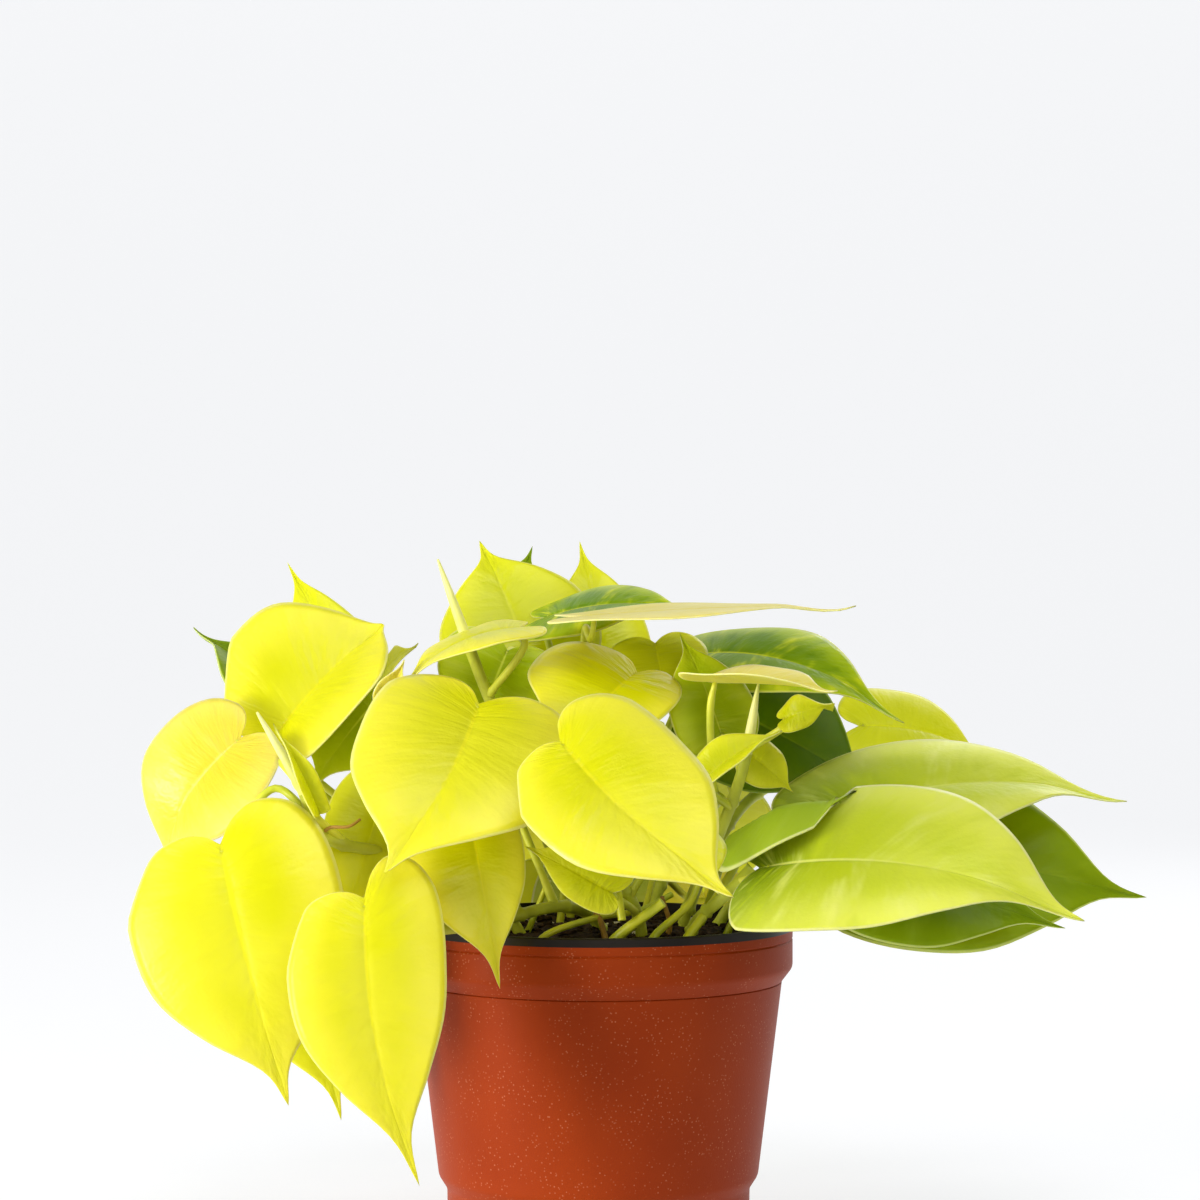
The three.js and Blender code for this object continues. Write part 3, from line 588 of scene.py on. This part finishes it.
# More stalks of the same plants, where they crowd out of the mix at the front: some green, some
# browned and one cut off flat, with a thin brown aerial root at the left node.
LOW_STALKS = [
    (1.6, [(-38, -42, 112), (-34.5, -48, 119), (-30, -50, 142)]),
    (1.3, [(-24, -54, 112), (-20, -55, 117), (0.6, -50, 123.5), (16, -44, 125.5), (28, -38, 131)]),
    (2.1, [(3, -58, 112), (7.5, -62, 117.5), (24, -66, 130.5)]),
    (1.7, [(6, -52, 148), (6.6, -64, 139), (8.8, -68, 124)]),
    (1.5, [(18, -54, 112), (21.5, -52, 117), (34.5, -46, 128.5), (38.5, -40, 137)]),
    (1.8, [(31, -52, 112), (34.5, -50, 117), (44.5, -44, 130), (52, -40, 142)]),
    (1.4, [(47, -40, 112), (49, -42, 117), (54.5, -44, 129.5), (58.5, -40, 140.5)]),
    (1.3, [(14, -32, 112), (16, -30, 117), (20.5, -25, 135)]),
    (1.5, [(-16, -22, 112), (-15, -20, 117.5), (-12.5, -18, 137)]),
    (1.6, [(36, -10, 112), (39.5, -12, 117), (48, -14, 142)]),
    (1.2, [(-29, -28, 112), (-26, -30, 118.5), (-19, -34, 136)]),
]
BROWNED_STALKS = [
    (1.2, [(4, -54, 112), (2.5, -56, 116.5), (0, -50, 124), (-6, -45, 130)]),
    (0.7, [(-103, -55, 156), (-100, -60, 158), (-93, -62, 158.5), (-89, -60, 161)]),
    (1.1, [(24, -40, 112), (27, -44, 119), (24, -48, 131)]),
]


def grow_bundle(stalks, thick_end, taper, sides):
    """A bundle of loose stalks as one shape, from the radius and the points of each."""
    bundle = bmesh.new()
    for radius, points in stalks:
        path = smooth_path([Vector(point) * MM for point in points], 24)
        grow_stalk(bundle, path, lambda share: radius * MM * (thick_end - taper * share), sides)
    return bundle


low_finish = stalk_finish("low_stalk_skin", "#dcdc2c", "#a4b41c", 0.42)
low_shape = grow_bundle(LOW_STALKS, thick_end=1.06, taper=0.16, sides=10)
low_stalks = piece_from("low_stalks", low_shape, [low_finish])
low_stalks.data.set_sharp_from_angle(angle=math.radians(50))
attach(low_stalks, "root")

brown_finish = stalk_finish("browned_skin", "#b48a2c", "#7a5418", 0.6)
brown_shape = grow_bundle(BROWNED_STALKS, thick_end=1.05, taper=0.3, sides=8)
browned = piece_from("browned_stalks", brown_shape, [brown_finish])
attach(browned, "root")

# The leaves: heart-shaped blades with a drip tip, soft and thin, each on a stalk of its own
# that clasps its stem. The midrib is a pale groove on the face and a ridge below, the side
# veins are faint, and a fine pale line runs round the margin.
HALF_OUTLINE = [
    (0, 0), (-0.09, 0.17), (-0.13, 0.42), (-0.08, 0.74), (0.06, 0.95),
    (0.24, 1), (0.44, 0.9), (0.63, 0.56), (0.82, 0.13), (1, 0),
]
BLADE_THICKNESS = 0.5 * MM
MARGIN_REACH = 0.968
CREASE_SHARE = 0.13
DRIP_FROM = 0.7
DRIP_LENGTH = 0.3
RIPPLE_HEIGHT = 0.7 * MM
RIPPLE_TURNS = 15
RIPPLE_LAG = 1.7
MIDRIB_DEPTH = 0.35 * MM
MIDRIB_WIDTH = 0.035
MIDRIB_CROWDING = 1.2
VEIN_RUN = 0.15
PETIOLE_RADIUS = 1.5 * MM
PETIOLE_END = 0.035
PETIOLE_BASE = 0.15
NECK_FROM = 0.88
NECK_LENGTH = 0.12

# A plain leaf's values. Each half folds up from the midrib and curls down to its margin, in
# degrees; lift adds to the fold near the base and pinch narrows the half there. Arch, drip and
# sway bend the midrib, belly and lobe move the outline, and roll folds the right half back.
LEAF_DEFAULTS = {
    "left_share": 0.5, "base_reach": 0.2, "fold": 10, "curl": 30, "lift_left": 0, "lift_right": 0,
    "roll_right": 0, "roll_from": 0, "roll_slope": 0, "pinch_left": 0, "pinch_right": 0,
    "lobe_left": 1, "lobe_right": 1, "belly": 0, "slim_left": 0, "arch": 0.06, "drip": -0.04,
    "sway": 0, "twist": 0, "via": [],
}


def heart_margin(share):
    """The margin's place at a share of its way from the notch to the tip."""
    ends = [Vector(point) for point in HALF_OUTLINE]
    run = share * (len(ends) - 1)
    step = min(int(run), len(ends) - 2)
    start = ends[step]
    end = ends[step + 1]
    leave = (end - ends[step - 1]) / 2 if step > 0 else end - start
    arrive = (ends[step + 2] - start) / 2 if step + 2 < len(ends) else end - start
    return curved(start, end, leave, arrive, run - step)


def leaf_frame(leaf):
    """The leaf's own directions: along its midrib, the way its face looks, and its side."""
    notch = Vector(leaf["notch"]) * MM
    along = Vector(leaf["tip"]) * MM - notch
    length = along.length
    along.normalize()
    face = Vector(leaf["face"])
    face = (face - along * face.dot(along)).normalized()
    return notch, length, along, face, face.cross(along)


def blade_point(leaf, directions, a, b):
    """A place on the blade: a from notch to tip, b from the left margin to the right one."""
    notch, length, along, face, side = directions
    left = b < 0
    share = abs(b)
    near_base = min(1.2, max(0, 1 - a / leaf["base_reach"]))
    pinch = 1 - (leaf["pinch_left"] if left else leaf["pinch_right"]) * min(1, near_base)
    half = leaf["width"] * MM * (leaf["left_share"] if left else 1 - leaf["left_share"]) * pinch
    lift = (leaf["lift_left"] if left else leaf["lift_right"]) * near_base
    fold = math.radians(leaf["fold"] + lift)
    bend = math.radians(leaf["curl"])
    run_out = 0.6 * max(0, a / leaf["base_reach"]) ** 20
    crease = max(0.05, leaf["roll_from"] + leaf["roll_slope"] * a + run_out)
    flat = min(share, crease) if leaf["roll_right"] > 0 and not left else share
    edge = fold - bend * flat
    out = half * (math.sin(fold) - math.sin(edge)) / bend
    up = half * (math.cos(edge) - math.cos(fold)) / bend
    if share > flat:
        roll = math.radians(leaf["roll_right"]) * min(1, 12 * near_base)
        turn_back = roll / CREASE_SHARE - bend
        part = min(share - flat, CREASE_SHARE)
        margin = edge + turn_back * part
        rest = half * (share - flat - part)
        out += half * (math.sin(margin) - math.sin(edge)) / turn_back + rest * math.cos(margin)
        up += half * (math.cos(edge) - math.cos(margin)) / turn_back + rest * math.sin(margin)
    turn = math.radians(leaf["twist"] * a)
    sideways = -out if left else out
    across = sideways * math.cos(turn) - up * math.sin(turn)
    above = sideways * math.sin(turn) + up * math.cos(turn)
    end = min(1, max(0, (a - DRIP_FROM) / DRIP_LENGTH))
    bow = length * (leaf["arch"] * 4 * a * (1 - a) + leaf["drip"] * end * end * (1 - end) * 3)
    sway = length * leaf["sway"] * math.sin(math.pi * min(1, max(0, a)))
    return notch + along * length * a + side * (across + sway) + face * (above + bow)


def grow_blade(shape, leaf, directions, across, along_steps):
    """Grows the blade from a grid whose rows run like its side veins, then thickens it."""
    flat = bmesh.new()
    flat.loops.layers.uv.new("blade")
    bmesh.ops.create_grid(flat, x_segments=across, y_segments=along_steps, size=1, calc_uvs=True)
    face_up = directions[3]
    phase = leaf["notch"][0] * 0.37 + leaf["tip"][2] * 0.11
    for corner in flat.verts:
        left = corner.co.x < 0
        share = abs(corner.co.x) ** MIDRIB_CROWDING
        vein = (corner.co.y + 1) / 2
        margin = heart_margin(vein)
        if margin.x > 0:
            belly = leaf["belly"] - (leaf["slim_left"] if left else 0)
            margin_a = margin.x + belly * margin.x * (1 - margin.x)
        else:
            margin_a = margin.x * (leaf["lobe_left"] if left else leaf["lobe_right"])
        rib = VEIN_RUN * vein + (1 - VEIN_RUN) * vein ** 3
        a = rib + (margin_a - rib) * share
        b = math.copysign(margin.y * share * MARGIN_REACH, corner.co.x)
        place = blade_point(leaf, directions, a, b)
        fade = math.sin(math.pi * vein)
        swing = vein * RIPPLE_TURNS + phase + (RIPPLE_LAG if b < 0 else 0)
        ripple = RIPPLE_HEIGHT * math.sin(swing) * share ** 3 * fade
        groove = -MIDRIB_DEPTH * math.exp(-(share / MIDRIB_WIDTH) ** 2) * fade
        corner.co = place + face_up * (ripple + groove)
    bmesh.ops.remove_doubles(flat, verts=flat.verts[:], dist=1e-6)
    for face in flat.faces:
        face.material_index = 0
    if sum(face.normal.dot(face_up) * face.calc_area() for face in flat.faces) < 0:
        bmesh.ops.reverse_faces(flat, faces=flat.faces[:])
    flat.normal_update()
    top = set(flat.faces)
    bmesh.ops.solidify(flat, geom=flat.faces[:], thickness=BLADE_THICKNESS)
    for face in flat.faces:
        if face not in top:
            face.material_index = 1
    mesh = bpy.data.meshes.new("blade")
    flat.to_mesh(mesh)
    flat.free()
    shape.from_mesh(mesh)
    bpy.data.meshes.remove(mesh)


def grow_petiole(shape, leaf, directions, root):
    """Grows the leaf's stalk from its stem to the notch, thick where it clasps the stem."""
    along, face_up = directions[2:4]
    end = blade_point(leaf, directions, PETIOLE_END, 0) - face_up * MIDRIB_DEPTH
    reach = (root - end).length
    before = end - face_up * min(9 * MM, reach * 0.2) - along * 2 * MM
    points = [root, *[Vector(point) * MM for point in leaf["via"]], before, end]

    def petiole_radius(share):
        """The stalk's radius, thicker at its stem and thinner at the blade."""
        base = max(0, 1 - share / PETIOLE_BASE)
        neck = max(0, (share - NECK_FROM) / NECK_LENGTH)
        return PETIOLE_RADIUS * (1 + 0.35 * base - 0.4 * neck)

    for face in grow_stalk(shape, smooth_path(points, 28), petiole_radius, 12):
        face.material_index = 2


def leaf_finish(
    name, ground, deep, base_colour_and_painted_shade, vein, margin,
    streaky=0.3, roughness=0.34, mottle=1.0, base_and_painted_shade_reach=0.3, gloss_index=1.33,
):
    """Living leaf: ground colour with deeper clouds in its middle that leave pale margins as a painted
    highlight, a colour of its own at the base that is painted shade on the bloom look, pale veins.
    """
    finish, tree, shader = new_finish(name)
    place = tree.nodes.new("ShaderNodeTexCoord")
    split = tree.nodes.new("ShaderNodeSeparateXYZ")
    tree.links.new(place.outputs["UV"], split.inputs["Vector"])
    sided = tree.nodes.new("ShaderNodeMath")
    sided.operation = "MULTIPLY_ADD"
    sided.inputs[1].default_value = 2
    sided.inputs[2].default_value = -1
    tree.links.new(split.outputs["X"], sided.inputs[0])
    share = tree.nodes.new("ShaderNodeMath")
    share.operation = "ABSOLUTE"
    tree.links.new(sided.outputs["Value"], share.inputs[0])
    across = share.outputs["Value"]
    down = split.outputs["Y"]

    def band(source, low, high, at_low, at_high):
        """A soft step from one strength to another between two places on the leaf."""
        return strength_between(tree, source, low, high, at_low, at_high)

    clouds = noise_pattern(tree, place.outputs["Object"], scale=24)
    along_veins = tree.nodes.new("ShaderNodeMapping")
    along_veins.inputs["Scale"].default_value = (2.2, 13, 1)
    tree.links.new(place.outputs["UV"], along_veins.inputs["Vector"])
    streaks = noise_pattern(tree, along_veins.outputs["Vector"], scale=1, detail=3)
    # Deeper colour held to the middle of the blade, partly the leaf's own tone. It fades out towards the
    # margins and the tip, where the pale ground is left as a painted highlight. The clouds in it are the
    # leaf's own mottle.
    deep_centre_painted_pale_edge = product(tree, band(across, 0.4, 0.96, 1, 0), band(down, 0.6, 1, 1, 0.4))
    mottle_and_painted_pale_edge = product(tree, band(clouds, 0.3, 0.65, 0.7, mottle), deep_centre_painted_pale_edge)
    # The base colour near the notch: the leaf's own tone on most looks, and a dark painted shade over the
    # lower part of the blade on the bloom look.
    near_notch = band(across, base_and_painted_shade_reach, base_and_painted_shade_reach + 0.6, 1, 0)
    base = product(tree, band(down, 0.2, 0.7, 0.85, 0), near_notch)
    midrib = product(tree, band(across, 0.01, 0.05, 1, 0), band(down, 0.5, 0.95, 1, 0.1))
    skin = laid_over(tree, ground, deep, mottle_and_painted_pale_edge)
    skin = laid_over(tree, skin, base_colour_and_painted_shade, base)
    skin = laid_over(tree, skin, vein, band(streaks, 0.5, 0.75, 0, streaky))
    skin = laid_over(tree, skin, deep, band(streaks, 0.28, 0.48, streaky, 0))
    skin = laid_over(tree, skin, vein, band(midrib, 0, 1, 0, 0.7))
    skin = laid_over(tree, skin, margin, band(across, 0.968, 0.988, 0, 0.7))
    tree.links.new(skin, shader.inputs["Base Color"])
    pillow = tree.nodes.new("ShaderNodeMath")
    pillow.operation = "MULTIPLY_ADD"
    pillow.inputs[1].default_value = 0.08
    tree.links.new(noise_pattern(tree, place.outputs["Object"], scale=650), pillow.inputs[0])
    tree.links.new(streaks, pillow.inputs[2])
    raise_relief(tree, shader, pillow.outputs["Value"], strength=0.4, distance=0.0028)
    gloss = band(clouds, 0.35, 0.65, roughness + 0.06, roughness - 0.04)
    tree.links.new(gloss, shader.inputs["Roughness"])
    shader.inputs["IOR"].default_value = gloss_index
    shader.inputs["Subsurface Weight"].default_value = 0.5
    shader.inputs["Subsurface Radius"].default_value = (1, 0.95, 0.1)
    shader.inputs["Subsurface Scale"].default_value = 0.003
    return finish


# The colours of each look, on the face and on the paler underside: the ground, the deeper
# clouds in it, the base of the leaf, the veins and the margin. The bloom look's base is a dark
# painted shade. Some looks have ways of their own: stronger streaks, a base of painted shade
# that reaches further out, or less gloss.
LOOKS = {
    "lemon": ("#ece236", "#cccc00", "#dcda00", "#e8e014", "#f6f08c"),
    "pale": ("#e8d458", "#dcc82c", "#e0cc40", "#ecda70", "#f2e4a0"),
    "lime": ("#dcdc20", "#c2c800", "#cace00", "#dcde18", "#eeea80"),
    "green_lime": ("#b8c81c", "#8ea400", "#94a800", "#ccd450", "#e2e494"),
    # The bloom look's base colour is a dark green painted shade.
    "bloom": ("#dce456", "#b6c622", "#547000", "#e4ea80", "#eaeaa0"),
    "streaked": ("#a6bc0c", "#5c8000", "#7c9a00", "#dade20", "#e6e466"),
    "mid_green": ("#728c08", "#557200", "#64800a", "#90a634", "#c8d684"),
    "dark_green": ("#3a6008", "#284800", "#315400", "#56781c", "#8ca44c"),
}
UNDERSIDES = {
    "lemon": ("#ece244", "#dcd220", "#e8de38", "#f0ea78", "#f2ec90"),
    "pale": ("#f2e674", "#eadc54", "#eee270", "#f4ee98", "#f5efaa"),
    "lime": ("#d4d630", "#bec418", "#d0d430", "#e2e470", "#e8e88c"),
    "green_lime": ("#a8b83c", "#8ea222", "#94a828", "#c2cc6c", "#d8dc98"),
    "bloom": ("#98b020", "#7c9608", "#8aa214", "#b0c050", "#e6e8a0"),
    "streaked": ("#98ac2c", "#7c9414", "#889e1c", "#c0cc60", "#dce08c"),
    "mid_green": ("#86a03c", "#6e8824", "#7a9430", "#a8b868", "#c8d48c"),
    "dark_green": ("#54742c", "#42601e", "#4a6828", "#7c9850", "#9cb06c"),
}
OWN_WAYS = {
    "streaked": {"streaky": 0.85, "gloss_index": 1.2},
    # The bloom look's base of painted shade reaches across the whole blade.
    "bloom": {"streaky": 0.6, "base_and_painted_shade_reach": 0.9, "gloss_index": 1.25},
    "green_lime": {"gloss_index": 1.25},
    "mid_green": {"gloss_index": 1.2},
    "dark_green": {"gloss_index": 1.2},
}
faces_of_leaves = {}
for look in LOOKS:
    faces_of_leaves[look] = (
        leaf_finish("leaf_face_" + look, *LOOKS[look], **OWN_WAYS.get(look, {})),
        leaf_finish("leaf_under_" + look, *UNDERSIDES[look], roughness=0.55, mottle=0.5),
    )
petiole_finish = stalk_finish("petiole_skin", "#e8e848", "#c6ce2c", 0.42)


def grow_leaf(entry, root, across=24, along_steps=44):
    """One leaf's shape, its blade and stalk in one, as a bmesh."""
    leaf = {**LEAF_DEFAULTS, **entry}
    directions = leaf_frame(leaf)
    shape = bmesh.new()
    shape.loops.layers.uv.new("blade")
    grow_blade(shape, leaf, directions, across, along_steps)
    grow_petiole(shape, leaf, directions, root)
    return shape


def place_on_vine(entry):
    """Where a leaf's stalk leaves its vine."""
    path = vine_paths[entry["vine"]]
    run = entry["at"] * (len(path) - 1)
    step = min(int(run), len(path) - 2)
    return path[step].lerp(path[step + 1], run - step)


LEAVES = [
    dict(name="far_left", vine="front_left", at=0.82, look="pale", notch=(-138, -20, 190),
         tip=(-168, -6, 135), face=(-0.46, -0.8, 0.38), width=64, fold=22, arch=0.18, left_share=0.47),
    dict(name="low_left", vine="front_left", at=0.74, look="lemon", notch=(-141, -64, 152),
         tip=(-114, -80, 57), face=(-0.1, -0.95, 0.3), width=85, arch=0.1, belly=0.25, lobe_left=0.5,
         pinch_left=0.2, via=[(-122, -50, 172)]),
    dict(name="low_front", vine="front_left", at=0.42, look="lemon", notch=(-85, -98, 135),
         tip=(-64, -112, 33), face=(0, -0.95, 0.2), width=61, arch=0.08, sway=-0.05, lobe_left=0.3,
         pinch_left=0.15),
    dict(name="front_left", vine="over_rim", at=0.5, look="lemon", notch=(-45, -50, 204),
         tip=(-77, -106, 145), face=(0, -0.7, 0.7), width=88, arch=0.08, belly=0.45, left_share=0.49,
         sway=0.07),
    dict(name="front", vine="front", at=0.95, look="lemon", notch=(-14, -97, 192),
         tip=(47, -149, 140), face=(0, -0.75, 0.6), width=70, arch=0.05, belly=0.4, left_share=0.45,
         sway=-0.06, lobe_left=0.2, pinch_left=0.25, via=[(-7, -80, 162.5)]),
    dict(name="upper_left", vine="left", at=0.8, look="lemon", notch=(-126, -8, 190),
         tip=(-85, 10, 233.5), face=(-0.35, -0.75, 0.55), width=76, fold=22, curl=15, arch=0.05,
         belly=0.9, left_share=0.42, pinch_right=0.25, base_reach=0.3),
    dict(name="left_behind", vine="left", at=0.6, look="lime", notch=(-95, 42, 202),
         tip=(-72, 20, 226), face=(0, -0.6, 0.8), width=38),
    dict(name="left_high_tip", vine="back_left", at=0.88, look="lime", notch=(-99, 62, 202),
         tip=(-131, 95, 259), face=(-0.2, -0.7, 0.7), width=34),
    dict(name="green_left", vine="left", at=0.95, look="mid_green", notch=(-118, 16, 187),
         tip=(-166, 60, 232), face=(0.56, -0.64, 0.52), width=44, fold=26),
    dict(name="top", vine="top", at=0.5, look="lime", notch=(-27, 60, 216), tip=(-50, 92, 268),
         face=(0, -0.8, 0.6), width=70),
    dict(name="top_green_tip", vine="top", at=0.42, look="mid_green", notch=(-41, 80, 222),
         tip=(-28, 106, 266), face=(0, -0.8, 0.6), width=38),
    dict(name="top_right_tip", vine="centre", at=0.75, look="lime", notch=(4, 70, 208),
         tip=(-8, 105, 268), face=(0, -0.8, 0.6), width=44),
    dict(name="curled", vine="top", at=0.68, look="lemon", notch=(-31, -15, 232.5),
         tip=(-76, -32, 210), face=(0, -0.1, 1), width=46, lift_left=5, arch=0.1),
    dict(name="top_green", vine="centre", at=0.7, look="green_lime", skin="streaked",
         notch=(-22, 39, 236), tip=(41, 24, 238), face=(0, -0.35, 0.93), width=58, arch=0.08),
    dict(name="flat", vine="centre", at=0.8, look="pale", notch=(-5, -12, 237), tip=(99, -25, 241),
         face=(0, -0.1, 1), width=54, fold=2, curl=5, arch=0.01,
         via=[(10, 14, 200), (-5, 14, 223), (-5, 5, 232)]),
    # The middle leaf wears the brighter lemon skin over its lime look. This is painted light that lifts it
    # where the leaves above shade it.
    dict(name="middle", vine="centre", at=0.55, look="lime", skin="lemon",
         notch=(15, -15, 215), tip=(-17, -55, 180), face=(-0.1, -0.8, 0.55), width=62, arch=0.08,
         left_share=0.62),
    dict(name="middle_shaded", vine="top", at=0.52, look="green_lime", notch=(-36, 14, 223),
         tip=(-50, 12, 186), face=(0, -0.85, 0.5), width=54),
    dict(name="middle_right", vine="centre", at=0.99, look="green_lime", notch=(48, -16, 190),
         tip=(32, 0, 230), face=(0.2, -0.9, 0.4), width=37),
    dict(name="middle_behind", vine="centre", at=0.95, look="lime", notch=(22.5, 16, 226),
         tip=(27, 0, 199), face=(0, -0.8, 0.6), width=42),
    dict(name="edge_on", vine="sprig", at=0.5, look="pale", notch=(43, -33, 212),
         tip=(89, -66, 209.5), face=(0, -0.05, 1), width=44, fold=15, curl=5, arch=0.02),
    dict(name="arching", vine="centre", at=0.9, look="green_lime", skin="streaked",
         notch=(37, 40, 221), tip=(120, 2, 195), face=(0.1, -0.5, 0.85), width=64, arch=0.12),
    dict(name="dark", vine="right_back", at=0.7, look="dark_green", notch=(46, 62, 202),
         tip=(116, 44, 162), face=(0, -0.85, 0.5), width=66),
    dict(name="right_behind", vine="right_back", at=0.95, look="lime", notch=(108, 74, 191),
         tip=(164, 86, 174), face=(0.1, -0.6, 0.75), width=56, arch=0.12),
    dict(name="right_upper", vine="right", at=0.74, look="green_lime", skin="bloom",
         notch=(86, -5, 158), tip=(208, 5, 164), face=(0, -0.45, 0.9), width=84, arch=0.1,
         left_share=0.45),
    dict(name="right_front", vine="front_right", at=0.9, look="green_lime", skin="bloom",
         notch=(60, -62, 143), tip=(176, -100, 127), face=(-0.09, -0.63, 0.76), width=84,
         arch=0.12, left_share=0.44, belly=0.5, slim_left=0.55, lobe_left=0.4, lobe_right=1.1,
         pinch_right=-0.5, roll_from=0.33, roll_slope=1, roll_right=180),
    dict(name="right_low", vine="right", at=0.97, look="mid_green", notch=(99, 0, 145),
         tip=(214, -5, 127), face=(-0.05, -0.85, 0.5), width=82, belly=0.2),
    dict(name="right_inner", vine="right", at=0.6, look="mid_green", notch=(100, -26, 136),
         tip=(178, -36, 118), face=(-0.05, -0.8, 0.55), width=52),
    dict(name="right_rear", vine="right_back", at=0.45, look="lime", notch=(68, 42, 144),
         tip=(100, 62, 108), face=(0.5, 0.3, 0.8), width=46),
    dict(name="under_front", vine="front", at=0.5, look="lime", notch=(5, -76, 135),
         tip=(-27, -74, 152), face=(0, -0.95, 0.2), width=30, left_share=0.65),
    dict(name="over_rim", vine="over_rim", at=0.7, look="lemon", notch=(-48, -72, 165),
         tip=(-36, -88, 101), face=(0.1, -0.95, 0.2), width=46, left_share=0.6),
    dict(name="left_inner", vine="front_left", at=0.55, look="lime", notch=(-81, -40, 171),
         tip=(-95, -58, 121), face=(0, -0.9, 0.4), width=40),
    dict(name="left_middle", vine="left", at=0.4, look="green_lime", notch=(-86, 6, 205),
         tip=(-112, -10, 169), face=(-0.2, -0.8, 0.5), width=58),
    dict(name="low_left_behind", vine="left", at=0.62, look="lime", notch=(-114, -30, 117),
         tip=(-97, -50, 47), face=(-0.1, -0.95, 0.2), width=56),
]

for entry in LEAVES:
    fine = 2 if "roll_right" in entry else 1
    shape = grow_leaf(entry, place_on_vine(entry), across=24 * fine, along_steps=44 * fine)
    skins = faces_of_leaves[entry.get("skin", entry["look"])]
    leaf = piece_from("blade_" + entry["name"], shape, [*skins, petiole_finish])
    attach(leaf, "root")
    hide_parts("leaf_" + entry["name"])

# The leaves of the rear half: of the same kind as those in front and made in the same way,
# nearly all on the three vines at the back. They stand in three tiers from high to low, each
# a little out of line with the next, as leaves grow.
REAR_TIERS = {
    "high": (88, 184, 148, 156, 64, 0.1),
    "middle": (98, 158, 140, 94, 68, 0.12),
    "low": (92, 126, 108, 42, 58, 0.08),
}
REAR_LOOKS = ("lime", "lemon", "green_lime")
REAR_SHIFTS = ((1, 6), (2, 3), (3, 4), (4, 3))
REAR_TURN = 2.3
REAR_LEAVES = [
    ("high", 60, 8, -6, "back_right", 0.98),
    ("high", 92, -8, 10, "back", 0.9),
    ("high", 117, 6, -5, "back_left", 0.97),
    ("middle", 66, 9, 6, "back_right", 0.72),
    ("middle", 98, 0, -6, "back", 0.72),
    ("middle", 130, 9, 3, "back_left", 0.66),
    ("middle", 156, -2, -8, "back_left", 0.52),
    ("low", 64, 9, -6, "back_right", 0.5),
    ("low", 90, -3, 4, "back", 0.5),
    ("low", 114, 8, -2, "back_left", 0.5),
    ("low", 138, -2, 4, "back_left", 0.4),
    ("low", 160, 9, 12, "left", 0.36),
]
for index, (tier, azimuth, out, rise, vine, at) in enumerate(REAR_LEAVES):
    notch_radius, notch_height, tip_radius, tip_height, width, arch = REAR_TIERS[tier]
    aside, further, higher, wider = [
        reach * math.sin(REAR_TURN * index + phase) for phase, reach in REAR_SHIFTS
    ]
    facing = math.radians(azimuth)
    lean = math.radians(azimuth + aside)
    notch_reach = notch_radius + out
    tip_reach = tip_radius + out + further
    entry = dict(
        vine=vine, at=at, width=width + wider, arch=arch,
        notch=(notch_reach * math.cos(facing), notch_reach * math.sin(facing), notch_height + rise),
        tip=(tip_reach * math.cos(lean), tip_reach * math.sin(lean), tip_height + rise + higher),
        face=(0.6 * math.cos(facing), 0.6 * math.sin(facing), 0.8),
    )
    look = REAR_LOOKS[index % 3]
    shape = grow_leaf(entry, place_on_vine(entry))
    leaf = piece_from(f"blade_rear_{tier}_{azimuth}", shape, [*faces_of_leaves[look], petiole_finish])
    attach(leaf, "root")
    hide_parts(f"leaf_rear_{tier}_{azimuth}")

# The small young leaves: made like the large ones, but still folded or half unrolled, and one
# with the stem that they grow from. The last one is the papery sheath at the left node.
YOUNG_LEAVES = [
    dict(vine="sprig", at=0.62, notch=(40, -52, 176), tip=(69, -50, 194), face=(-0.3, -0.7, 0.7),
         width=20, fold=40),
    dict(vine="sprig", at=0.8, notch=(70, -45, 198), tip=(89, -50, 204), face=(0, -0.8, 0.6),
         width=14, twist=100),
    dict(vine="sprig", at=0.7, notch=(58, -28, 184), tip=(75, -25, 169), face=(0, -0.8, 0.6), width=22),
    dict(vine="top", at=0.45, notch=(-82, -30, 204), tip=(-74, -33, 220), face=(0.3, -0.8, 0.5),
         width=13, fold=45),
    dict(vine="centre", at=0.5, notch=(4, -30, 180), tip=(24, -66, 160), face=(0, -0.5, 0.85), width=44),
    dict(vine="front", at=0.6, notch=(26, -64, 158), tip=(44, -92, 136), face=(0.2, -0.5, 0.85), width=36),
    dict(vine="front_left", at=0.62, notch=(-104, -61, 163), tip=(-121, -64, 197),
         face=(0.4, -0.8, 0.2), width=11, fold=48, lobe_left=0.1, lobe_right=0.1),
]
for number, entry in enumerate(YOUNG_LEAVES):
    shape = grow_leaf(entry, place_on_vine(entry), across=16, along_steps=28)
    look = "pale" if entry["vine"] == "top" else "lime"
    leaf = piece_from(f"young_leaf_{number}", shape, [*faces_of_leaves[look], petiole_finish])
    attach(leaf, "root")
    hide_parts("stem_" + entry["vine"])
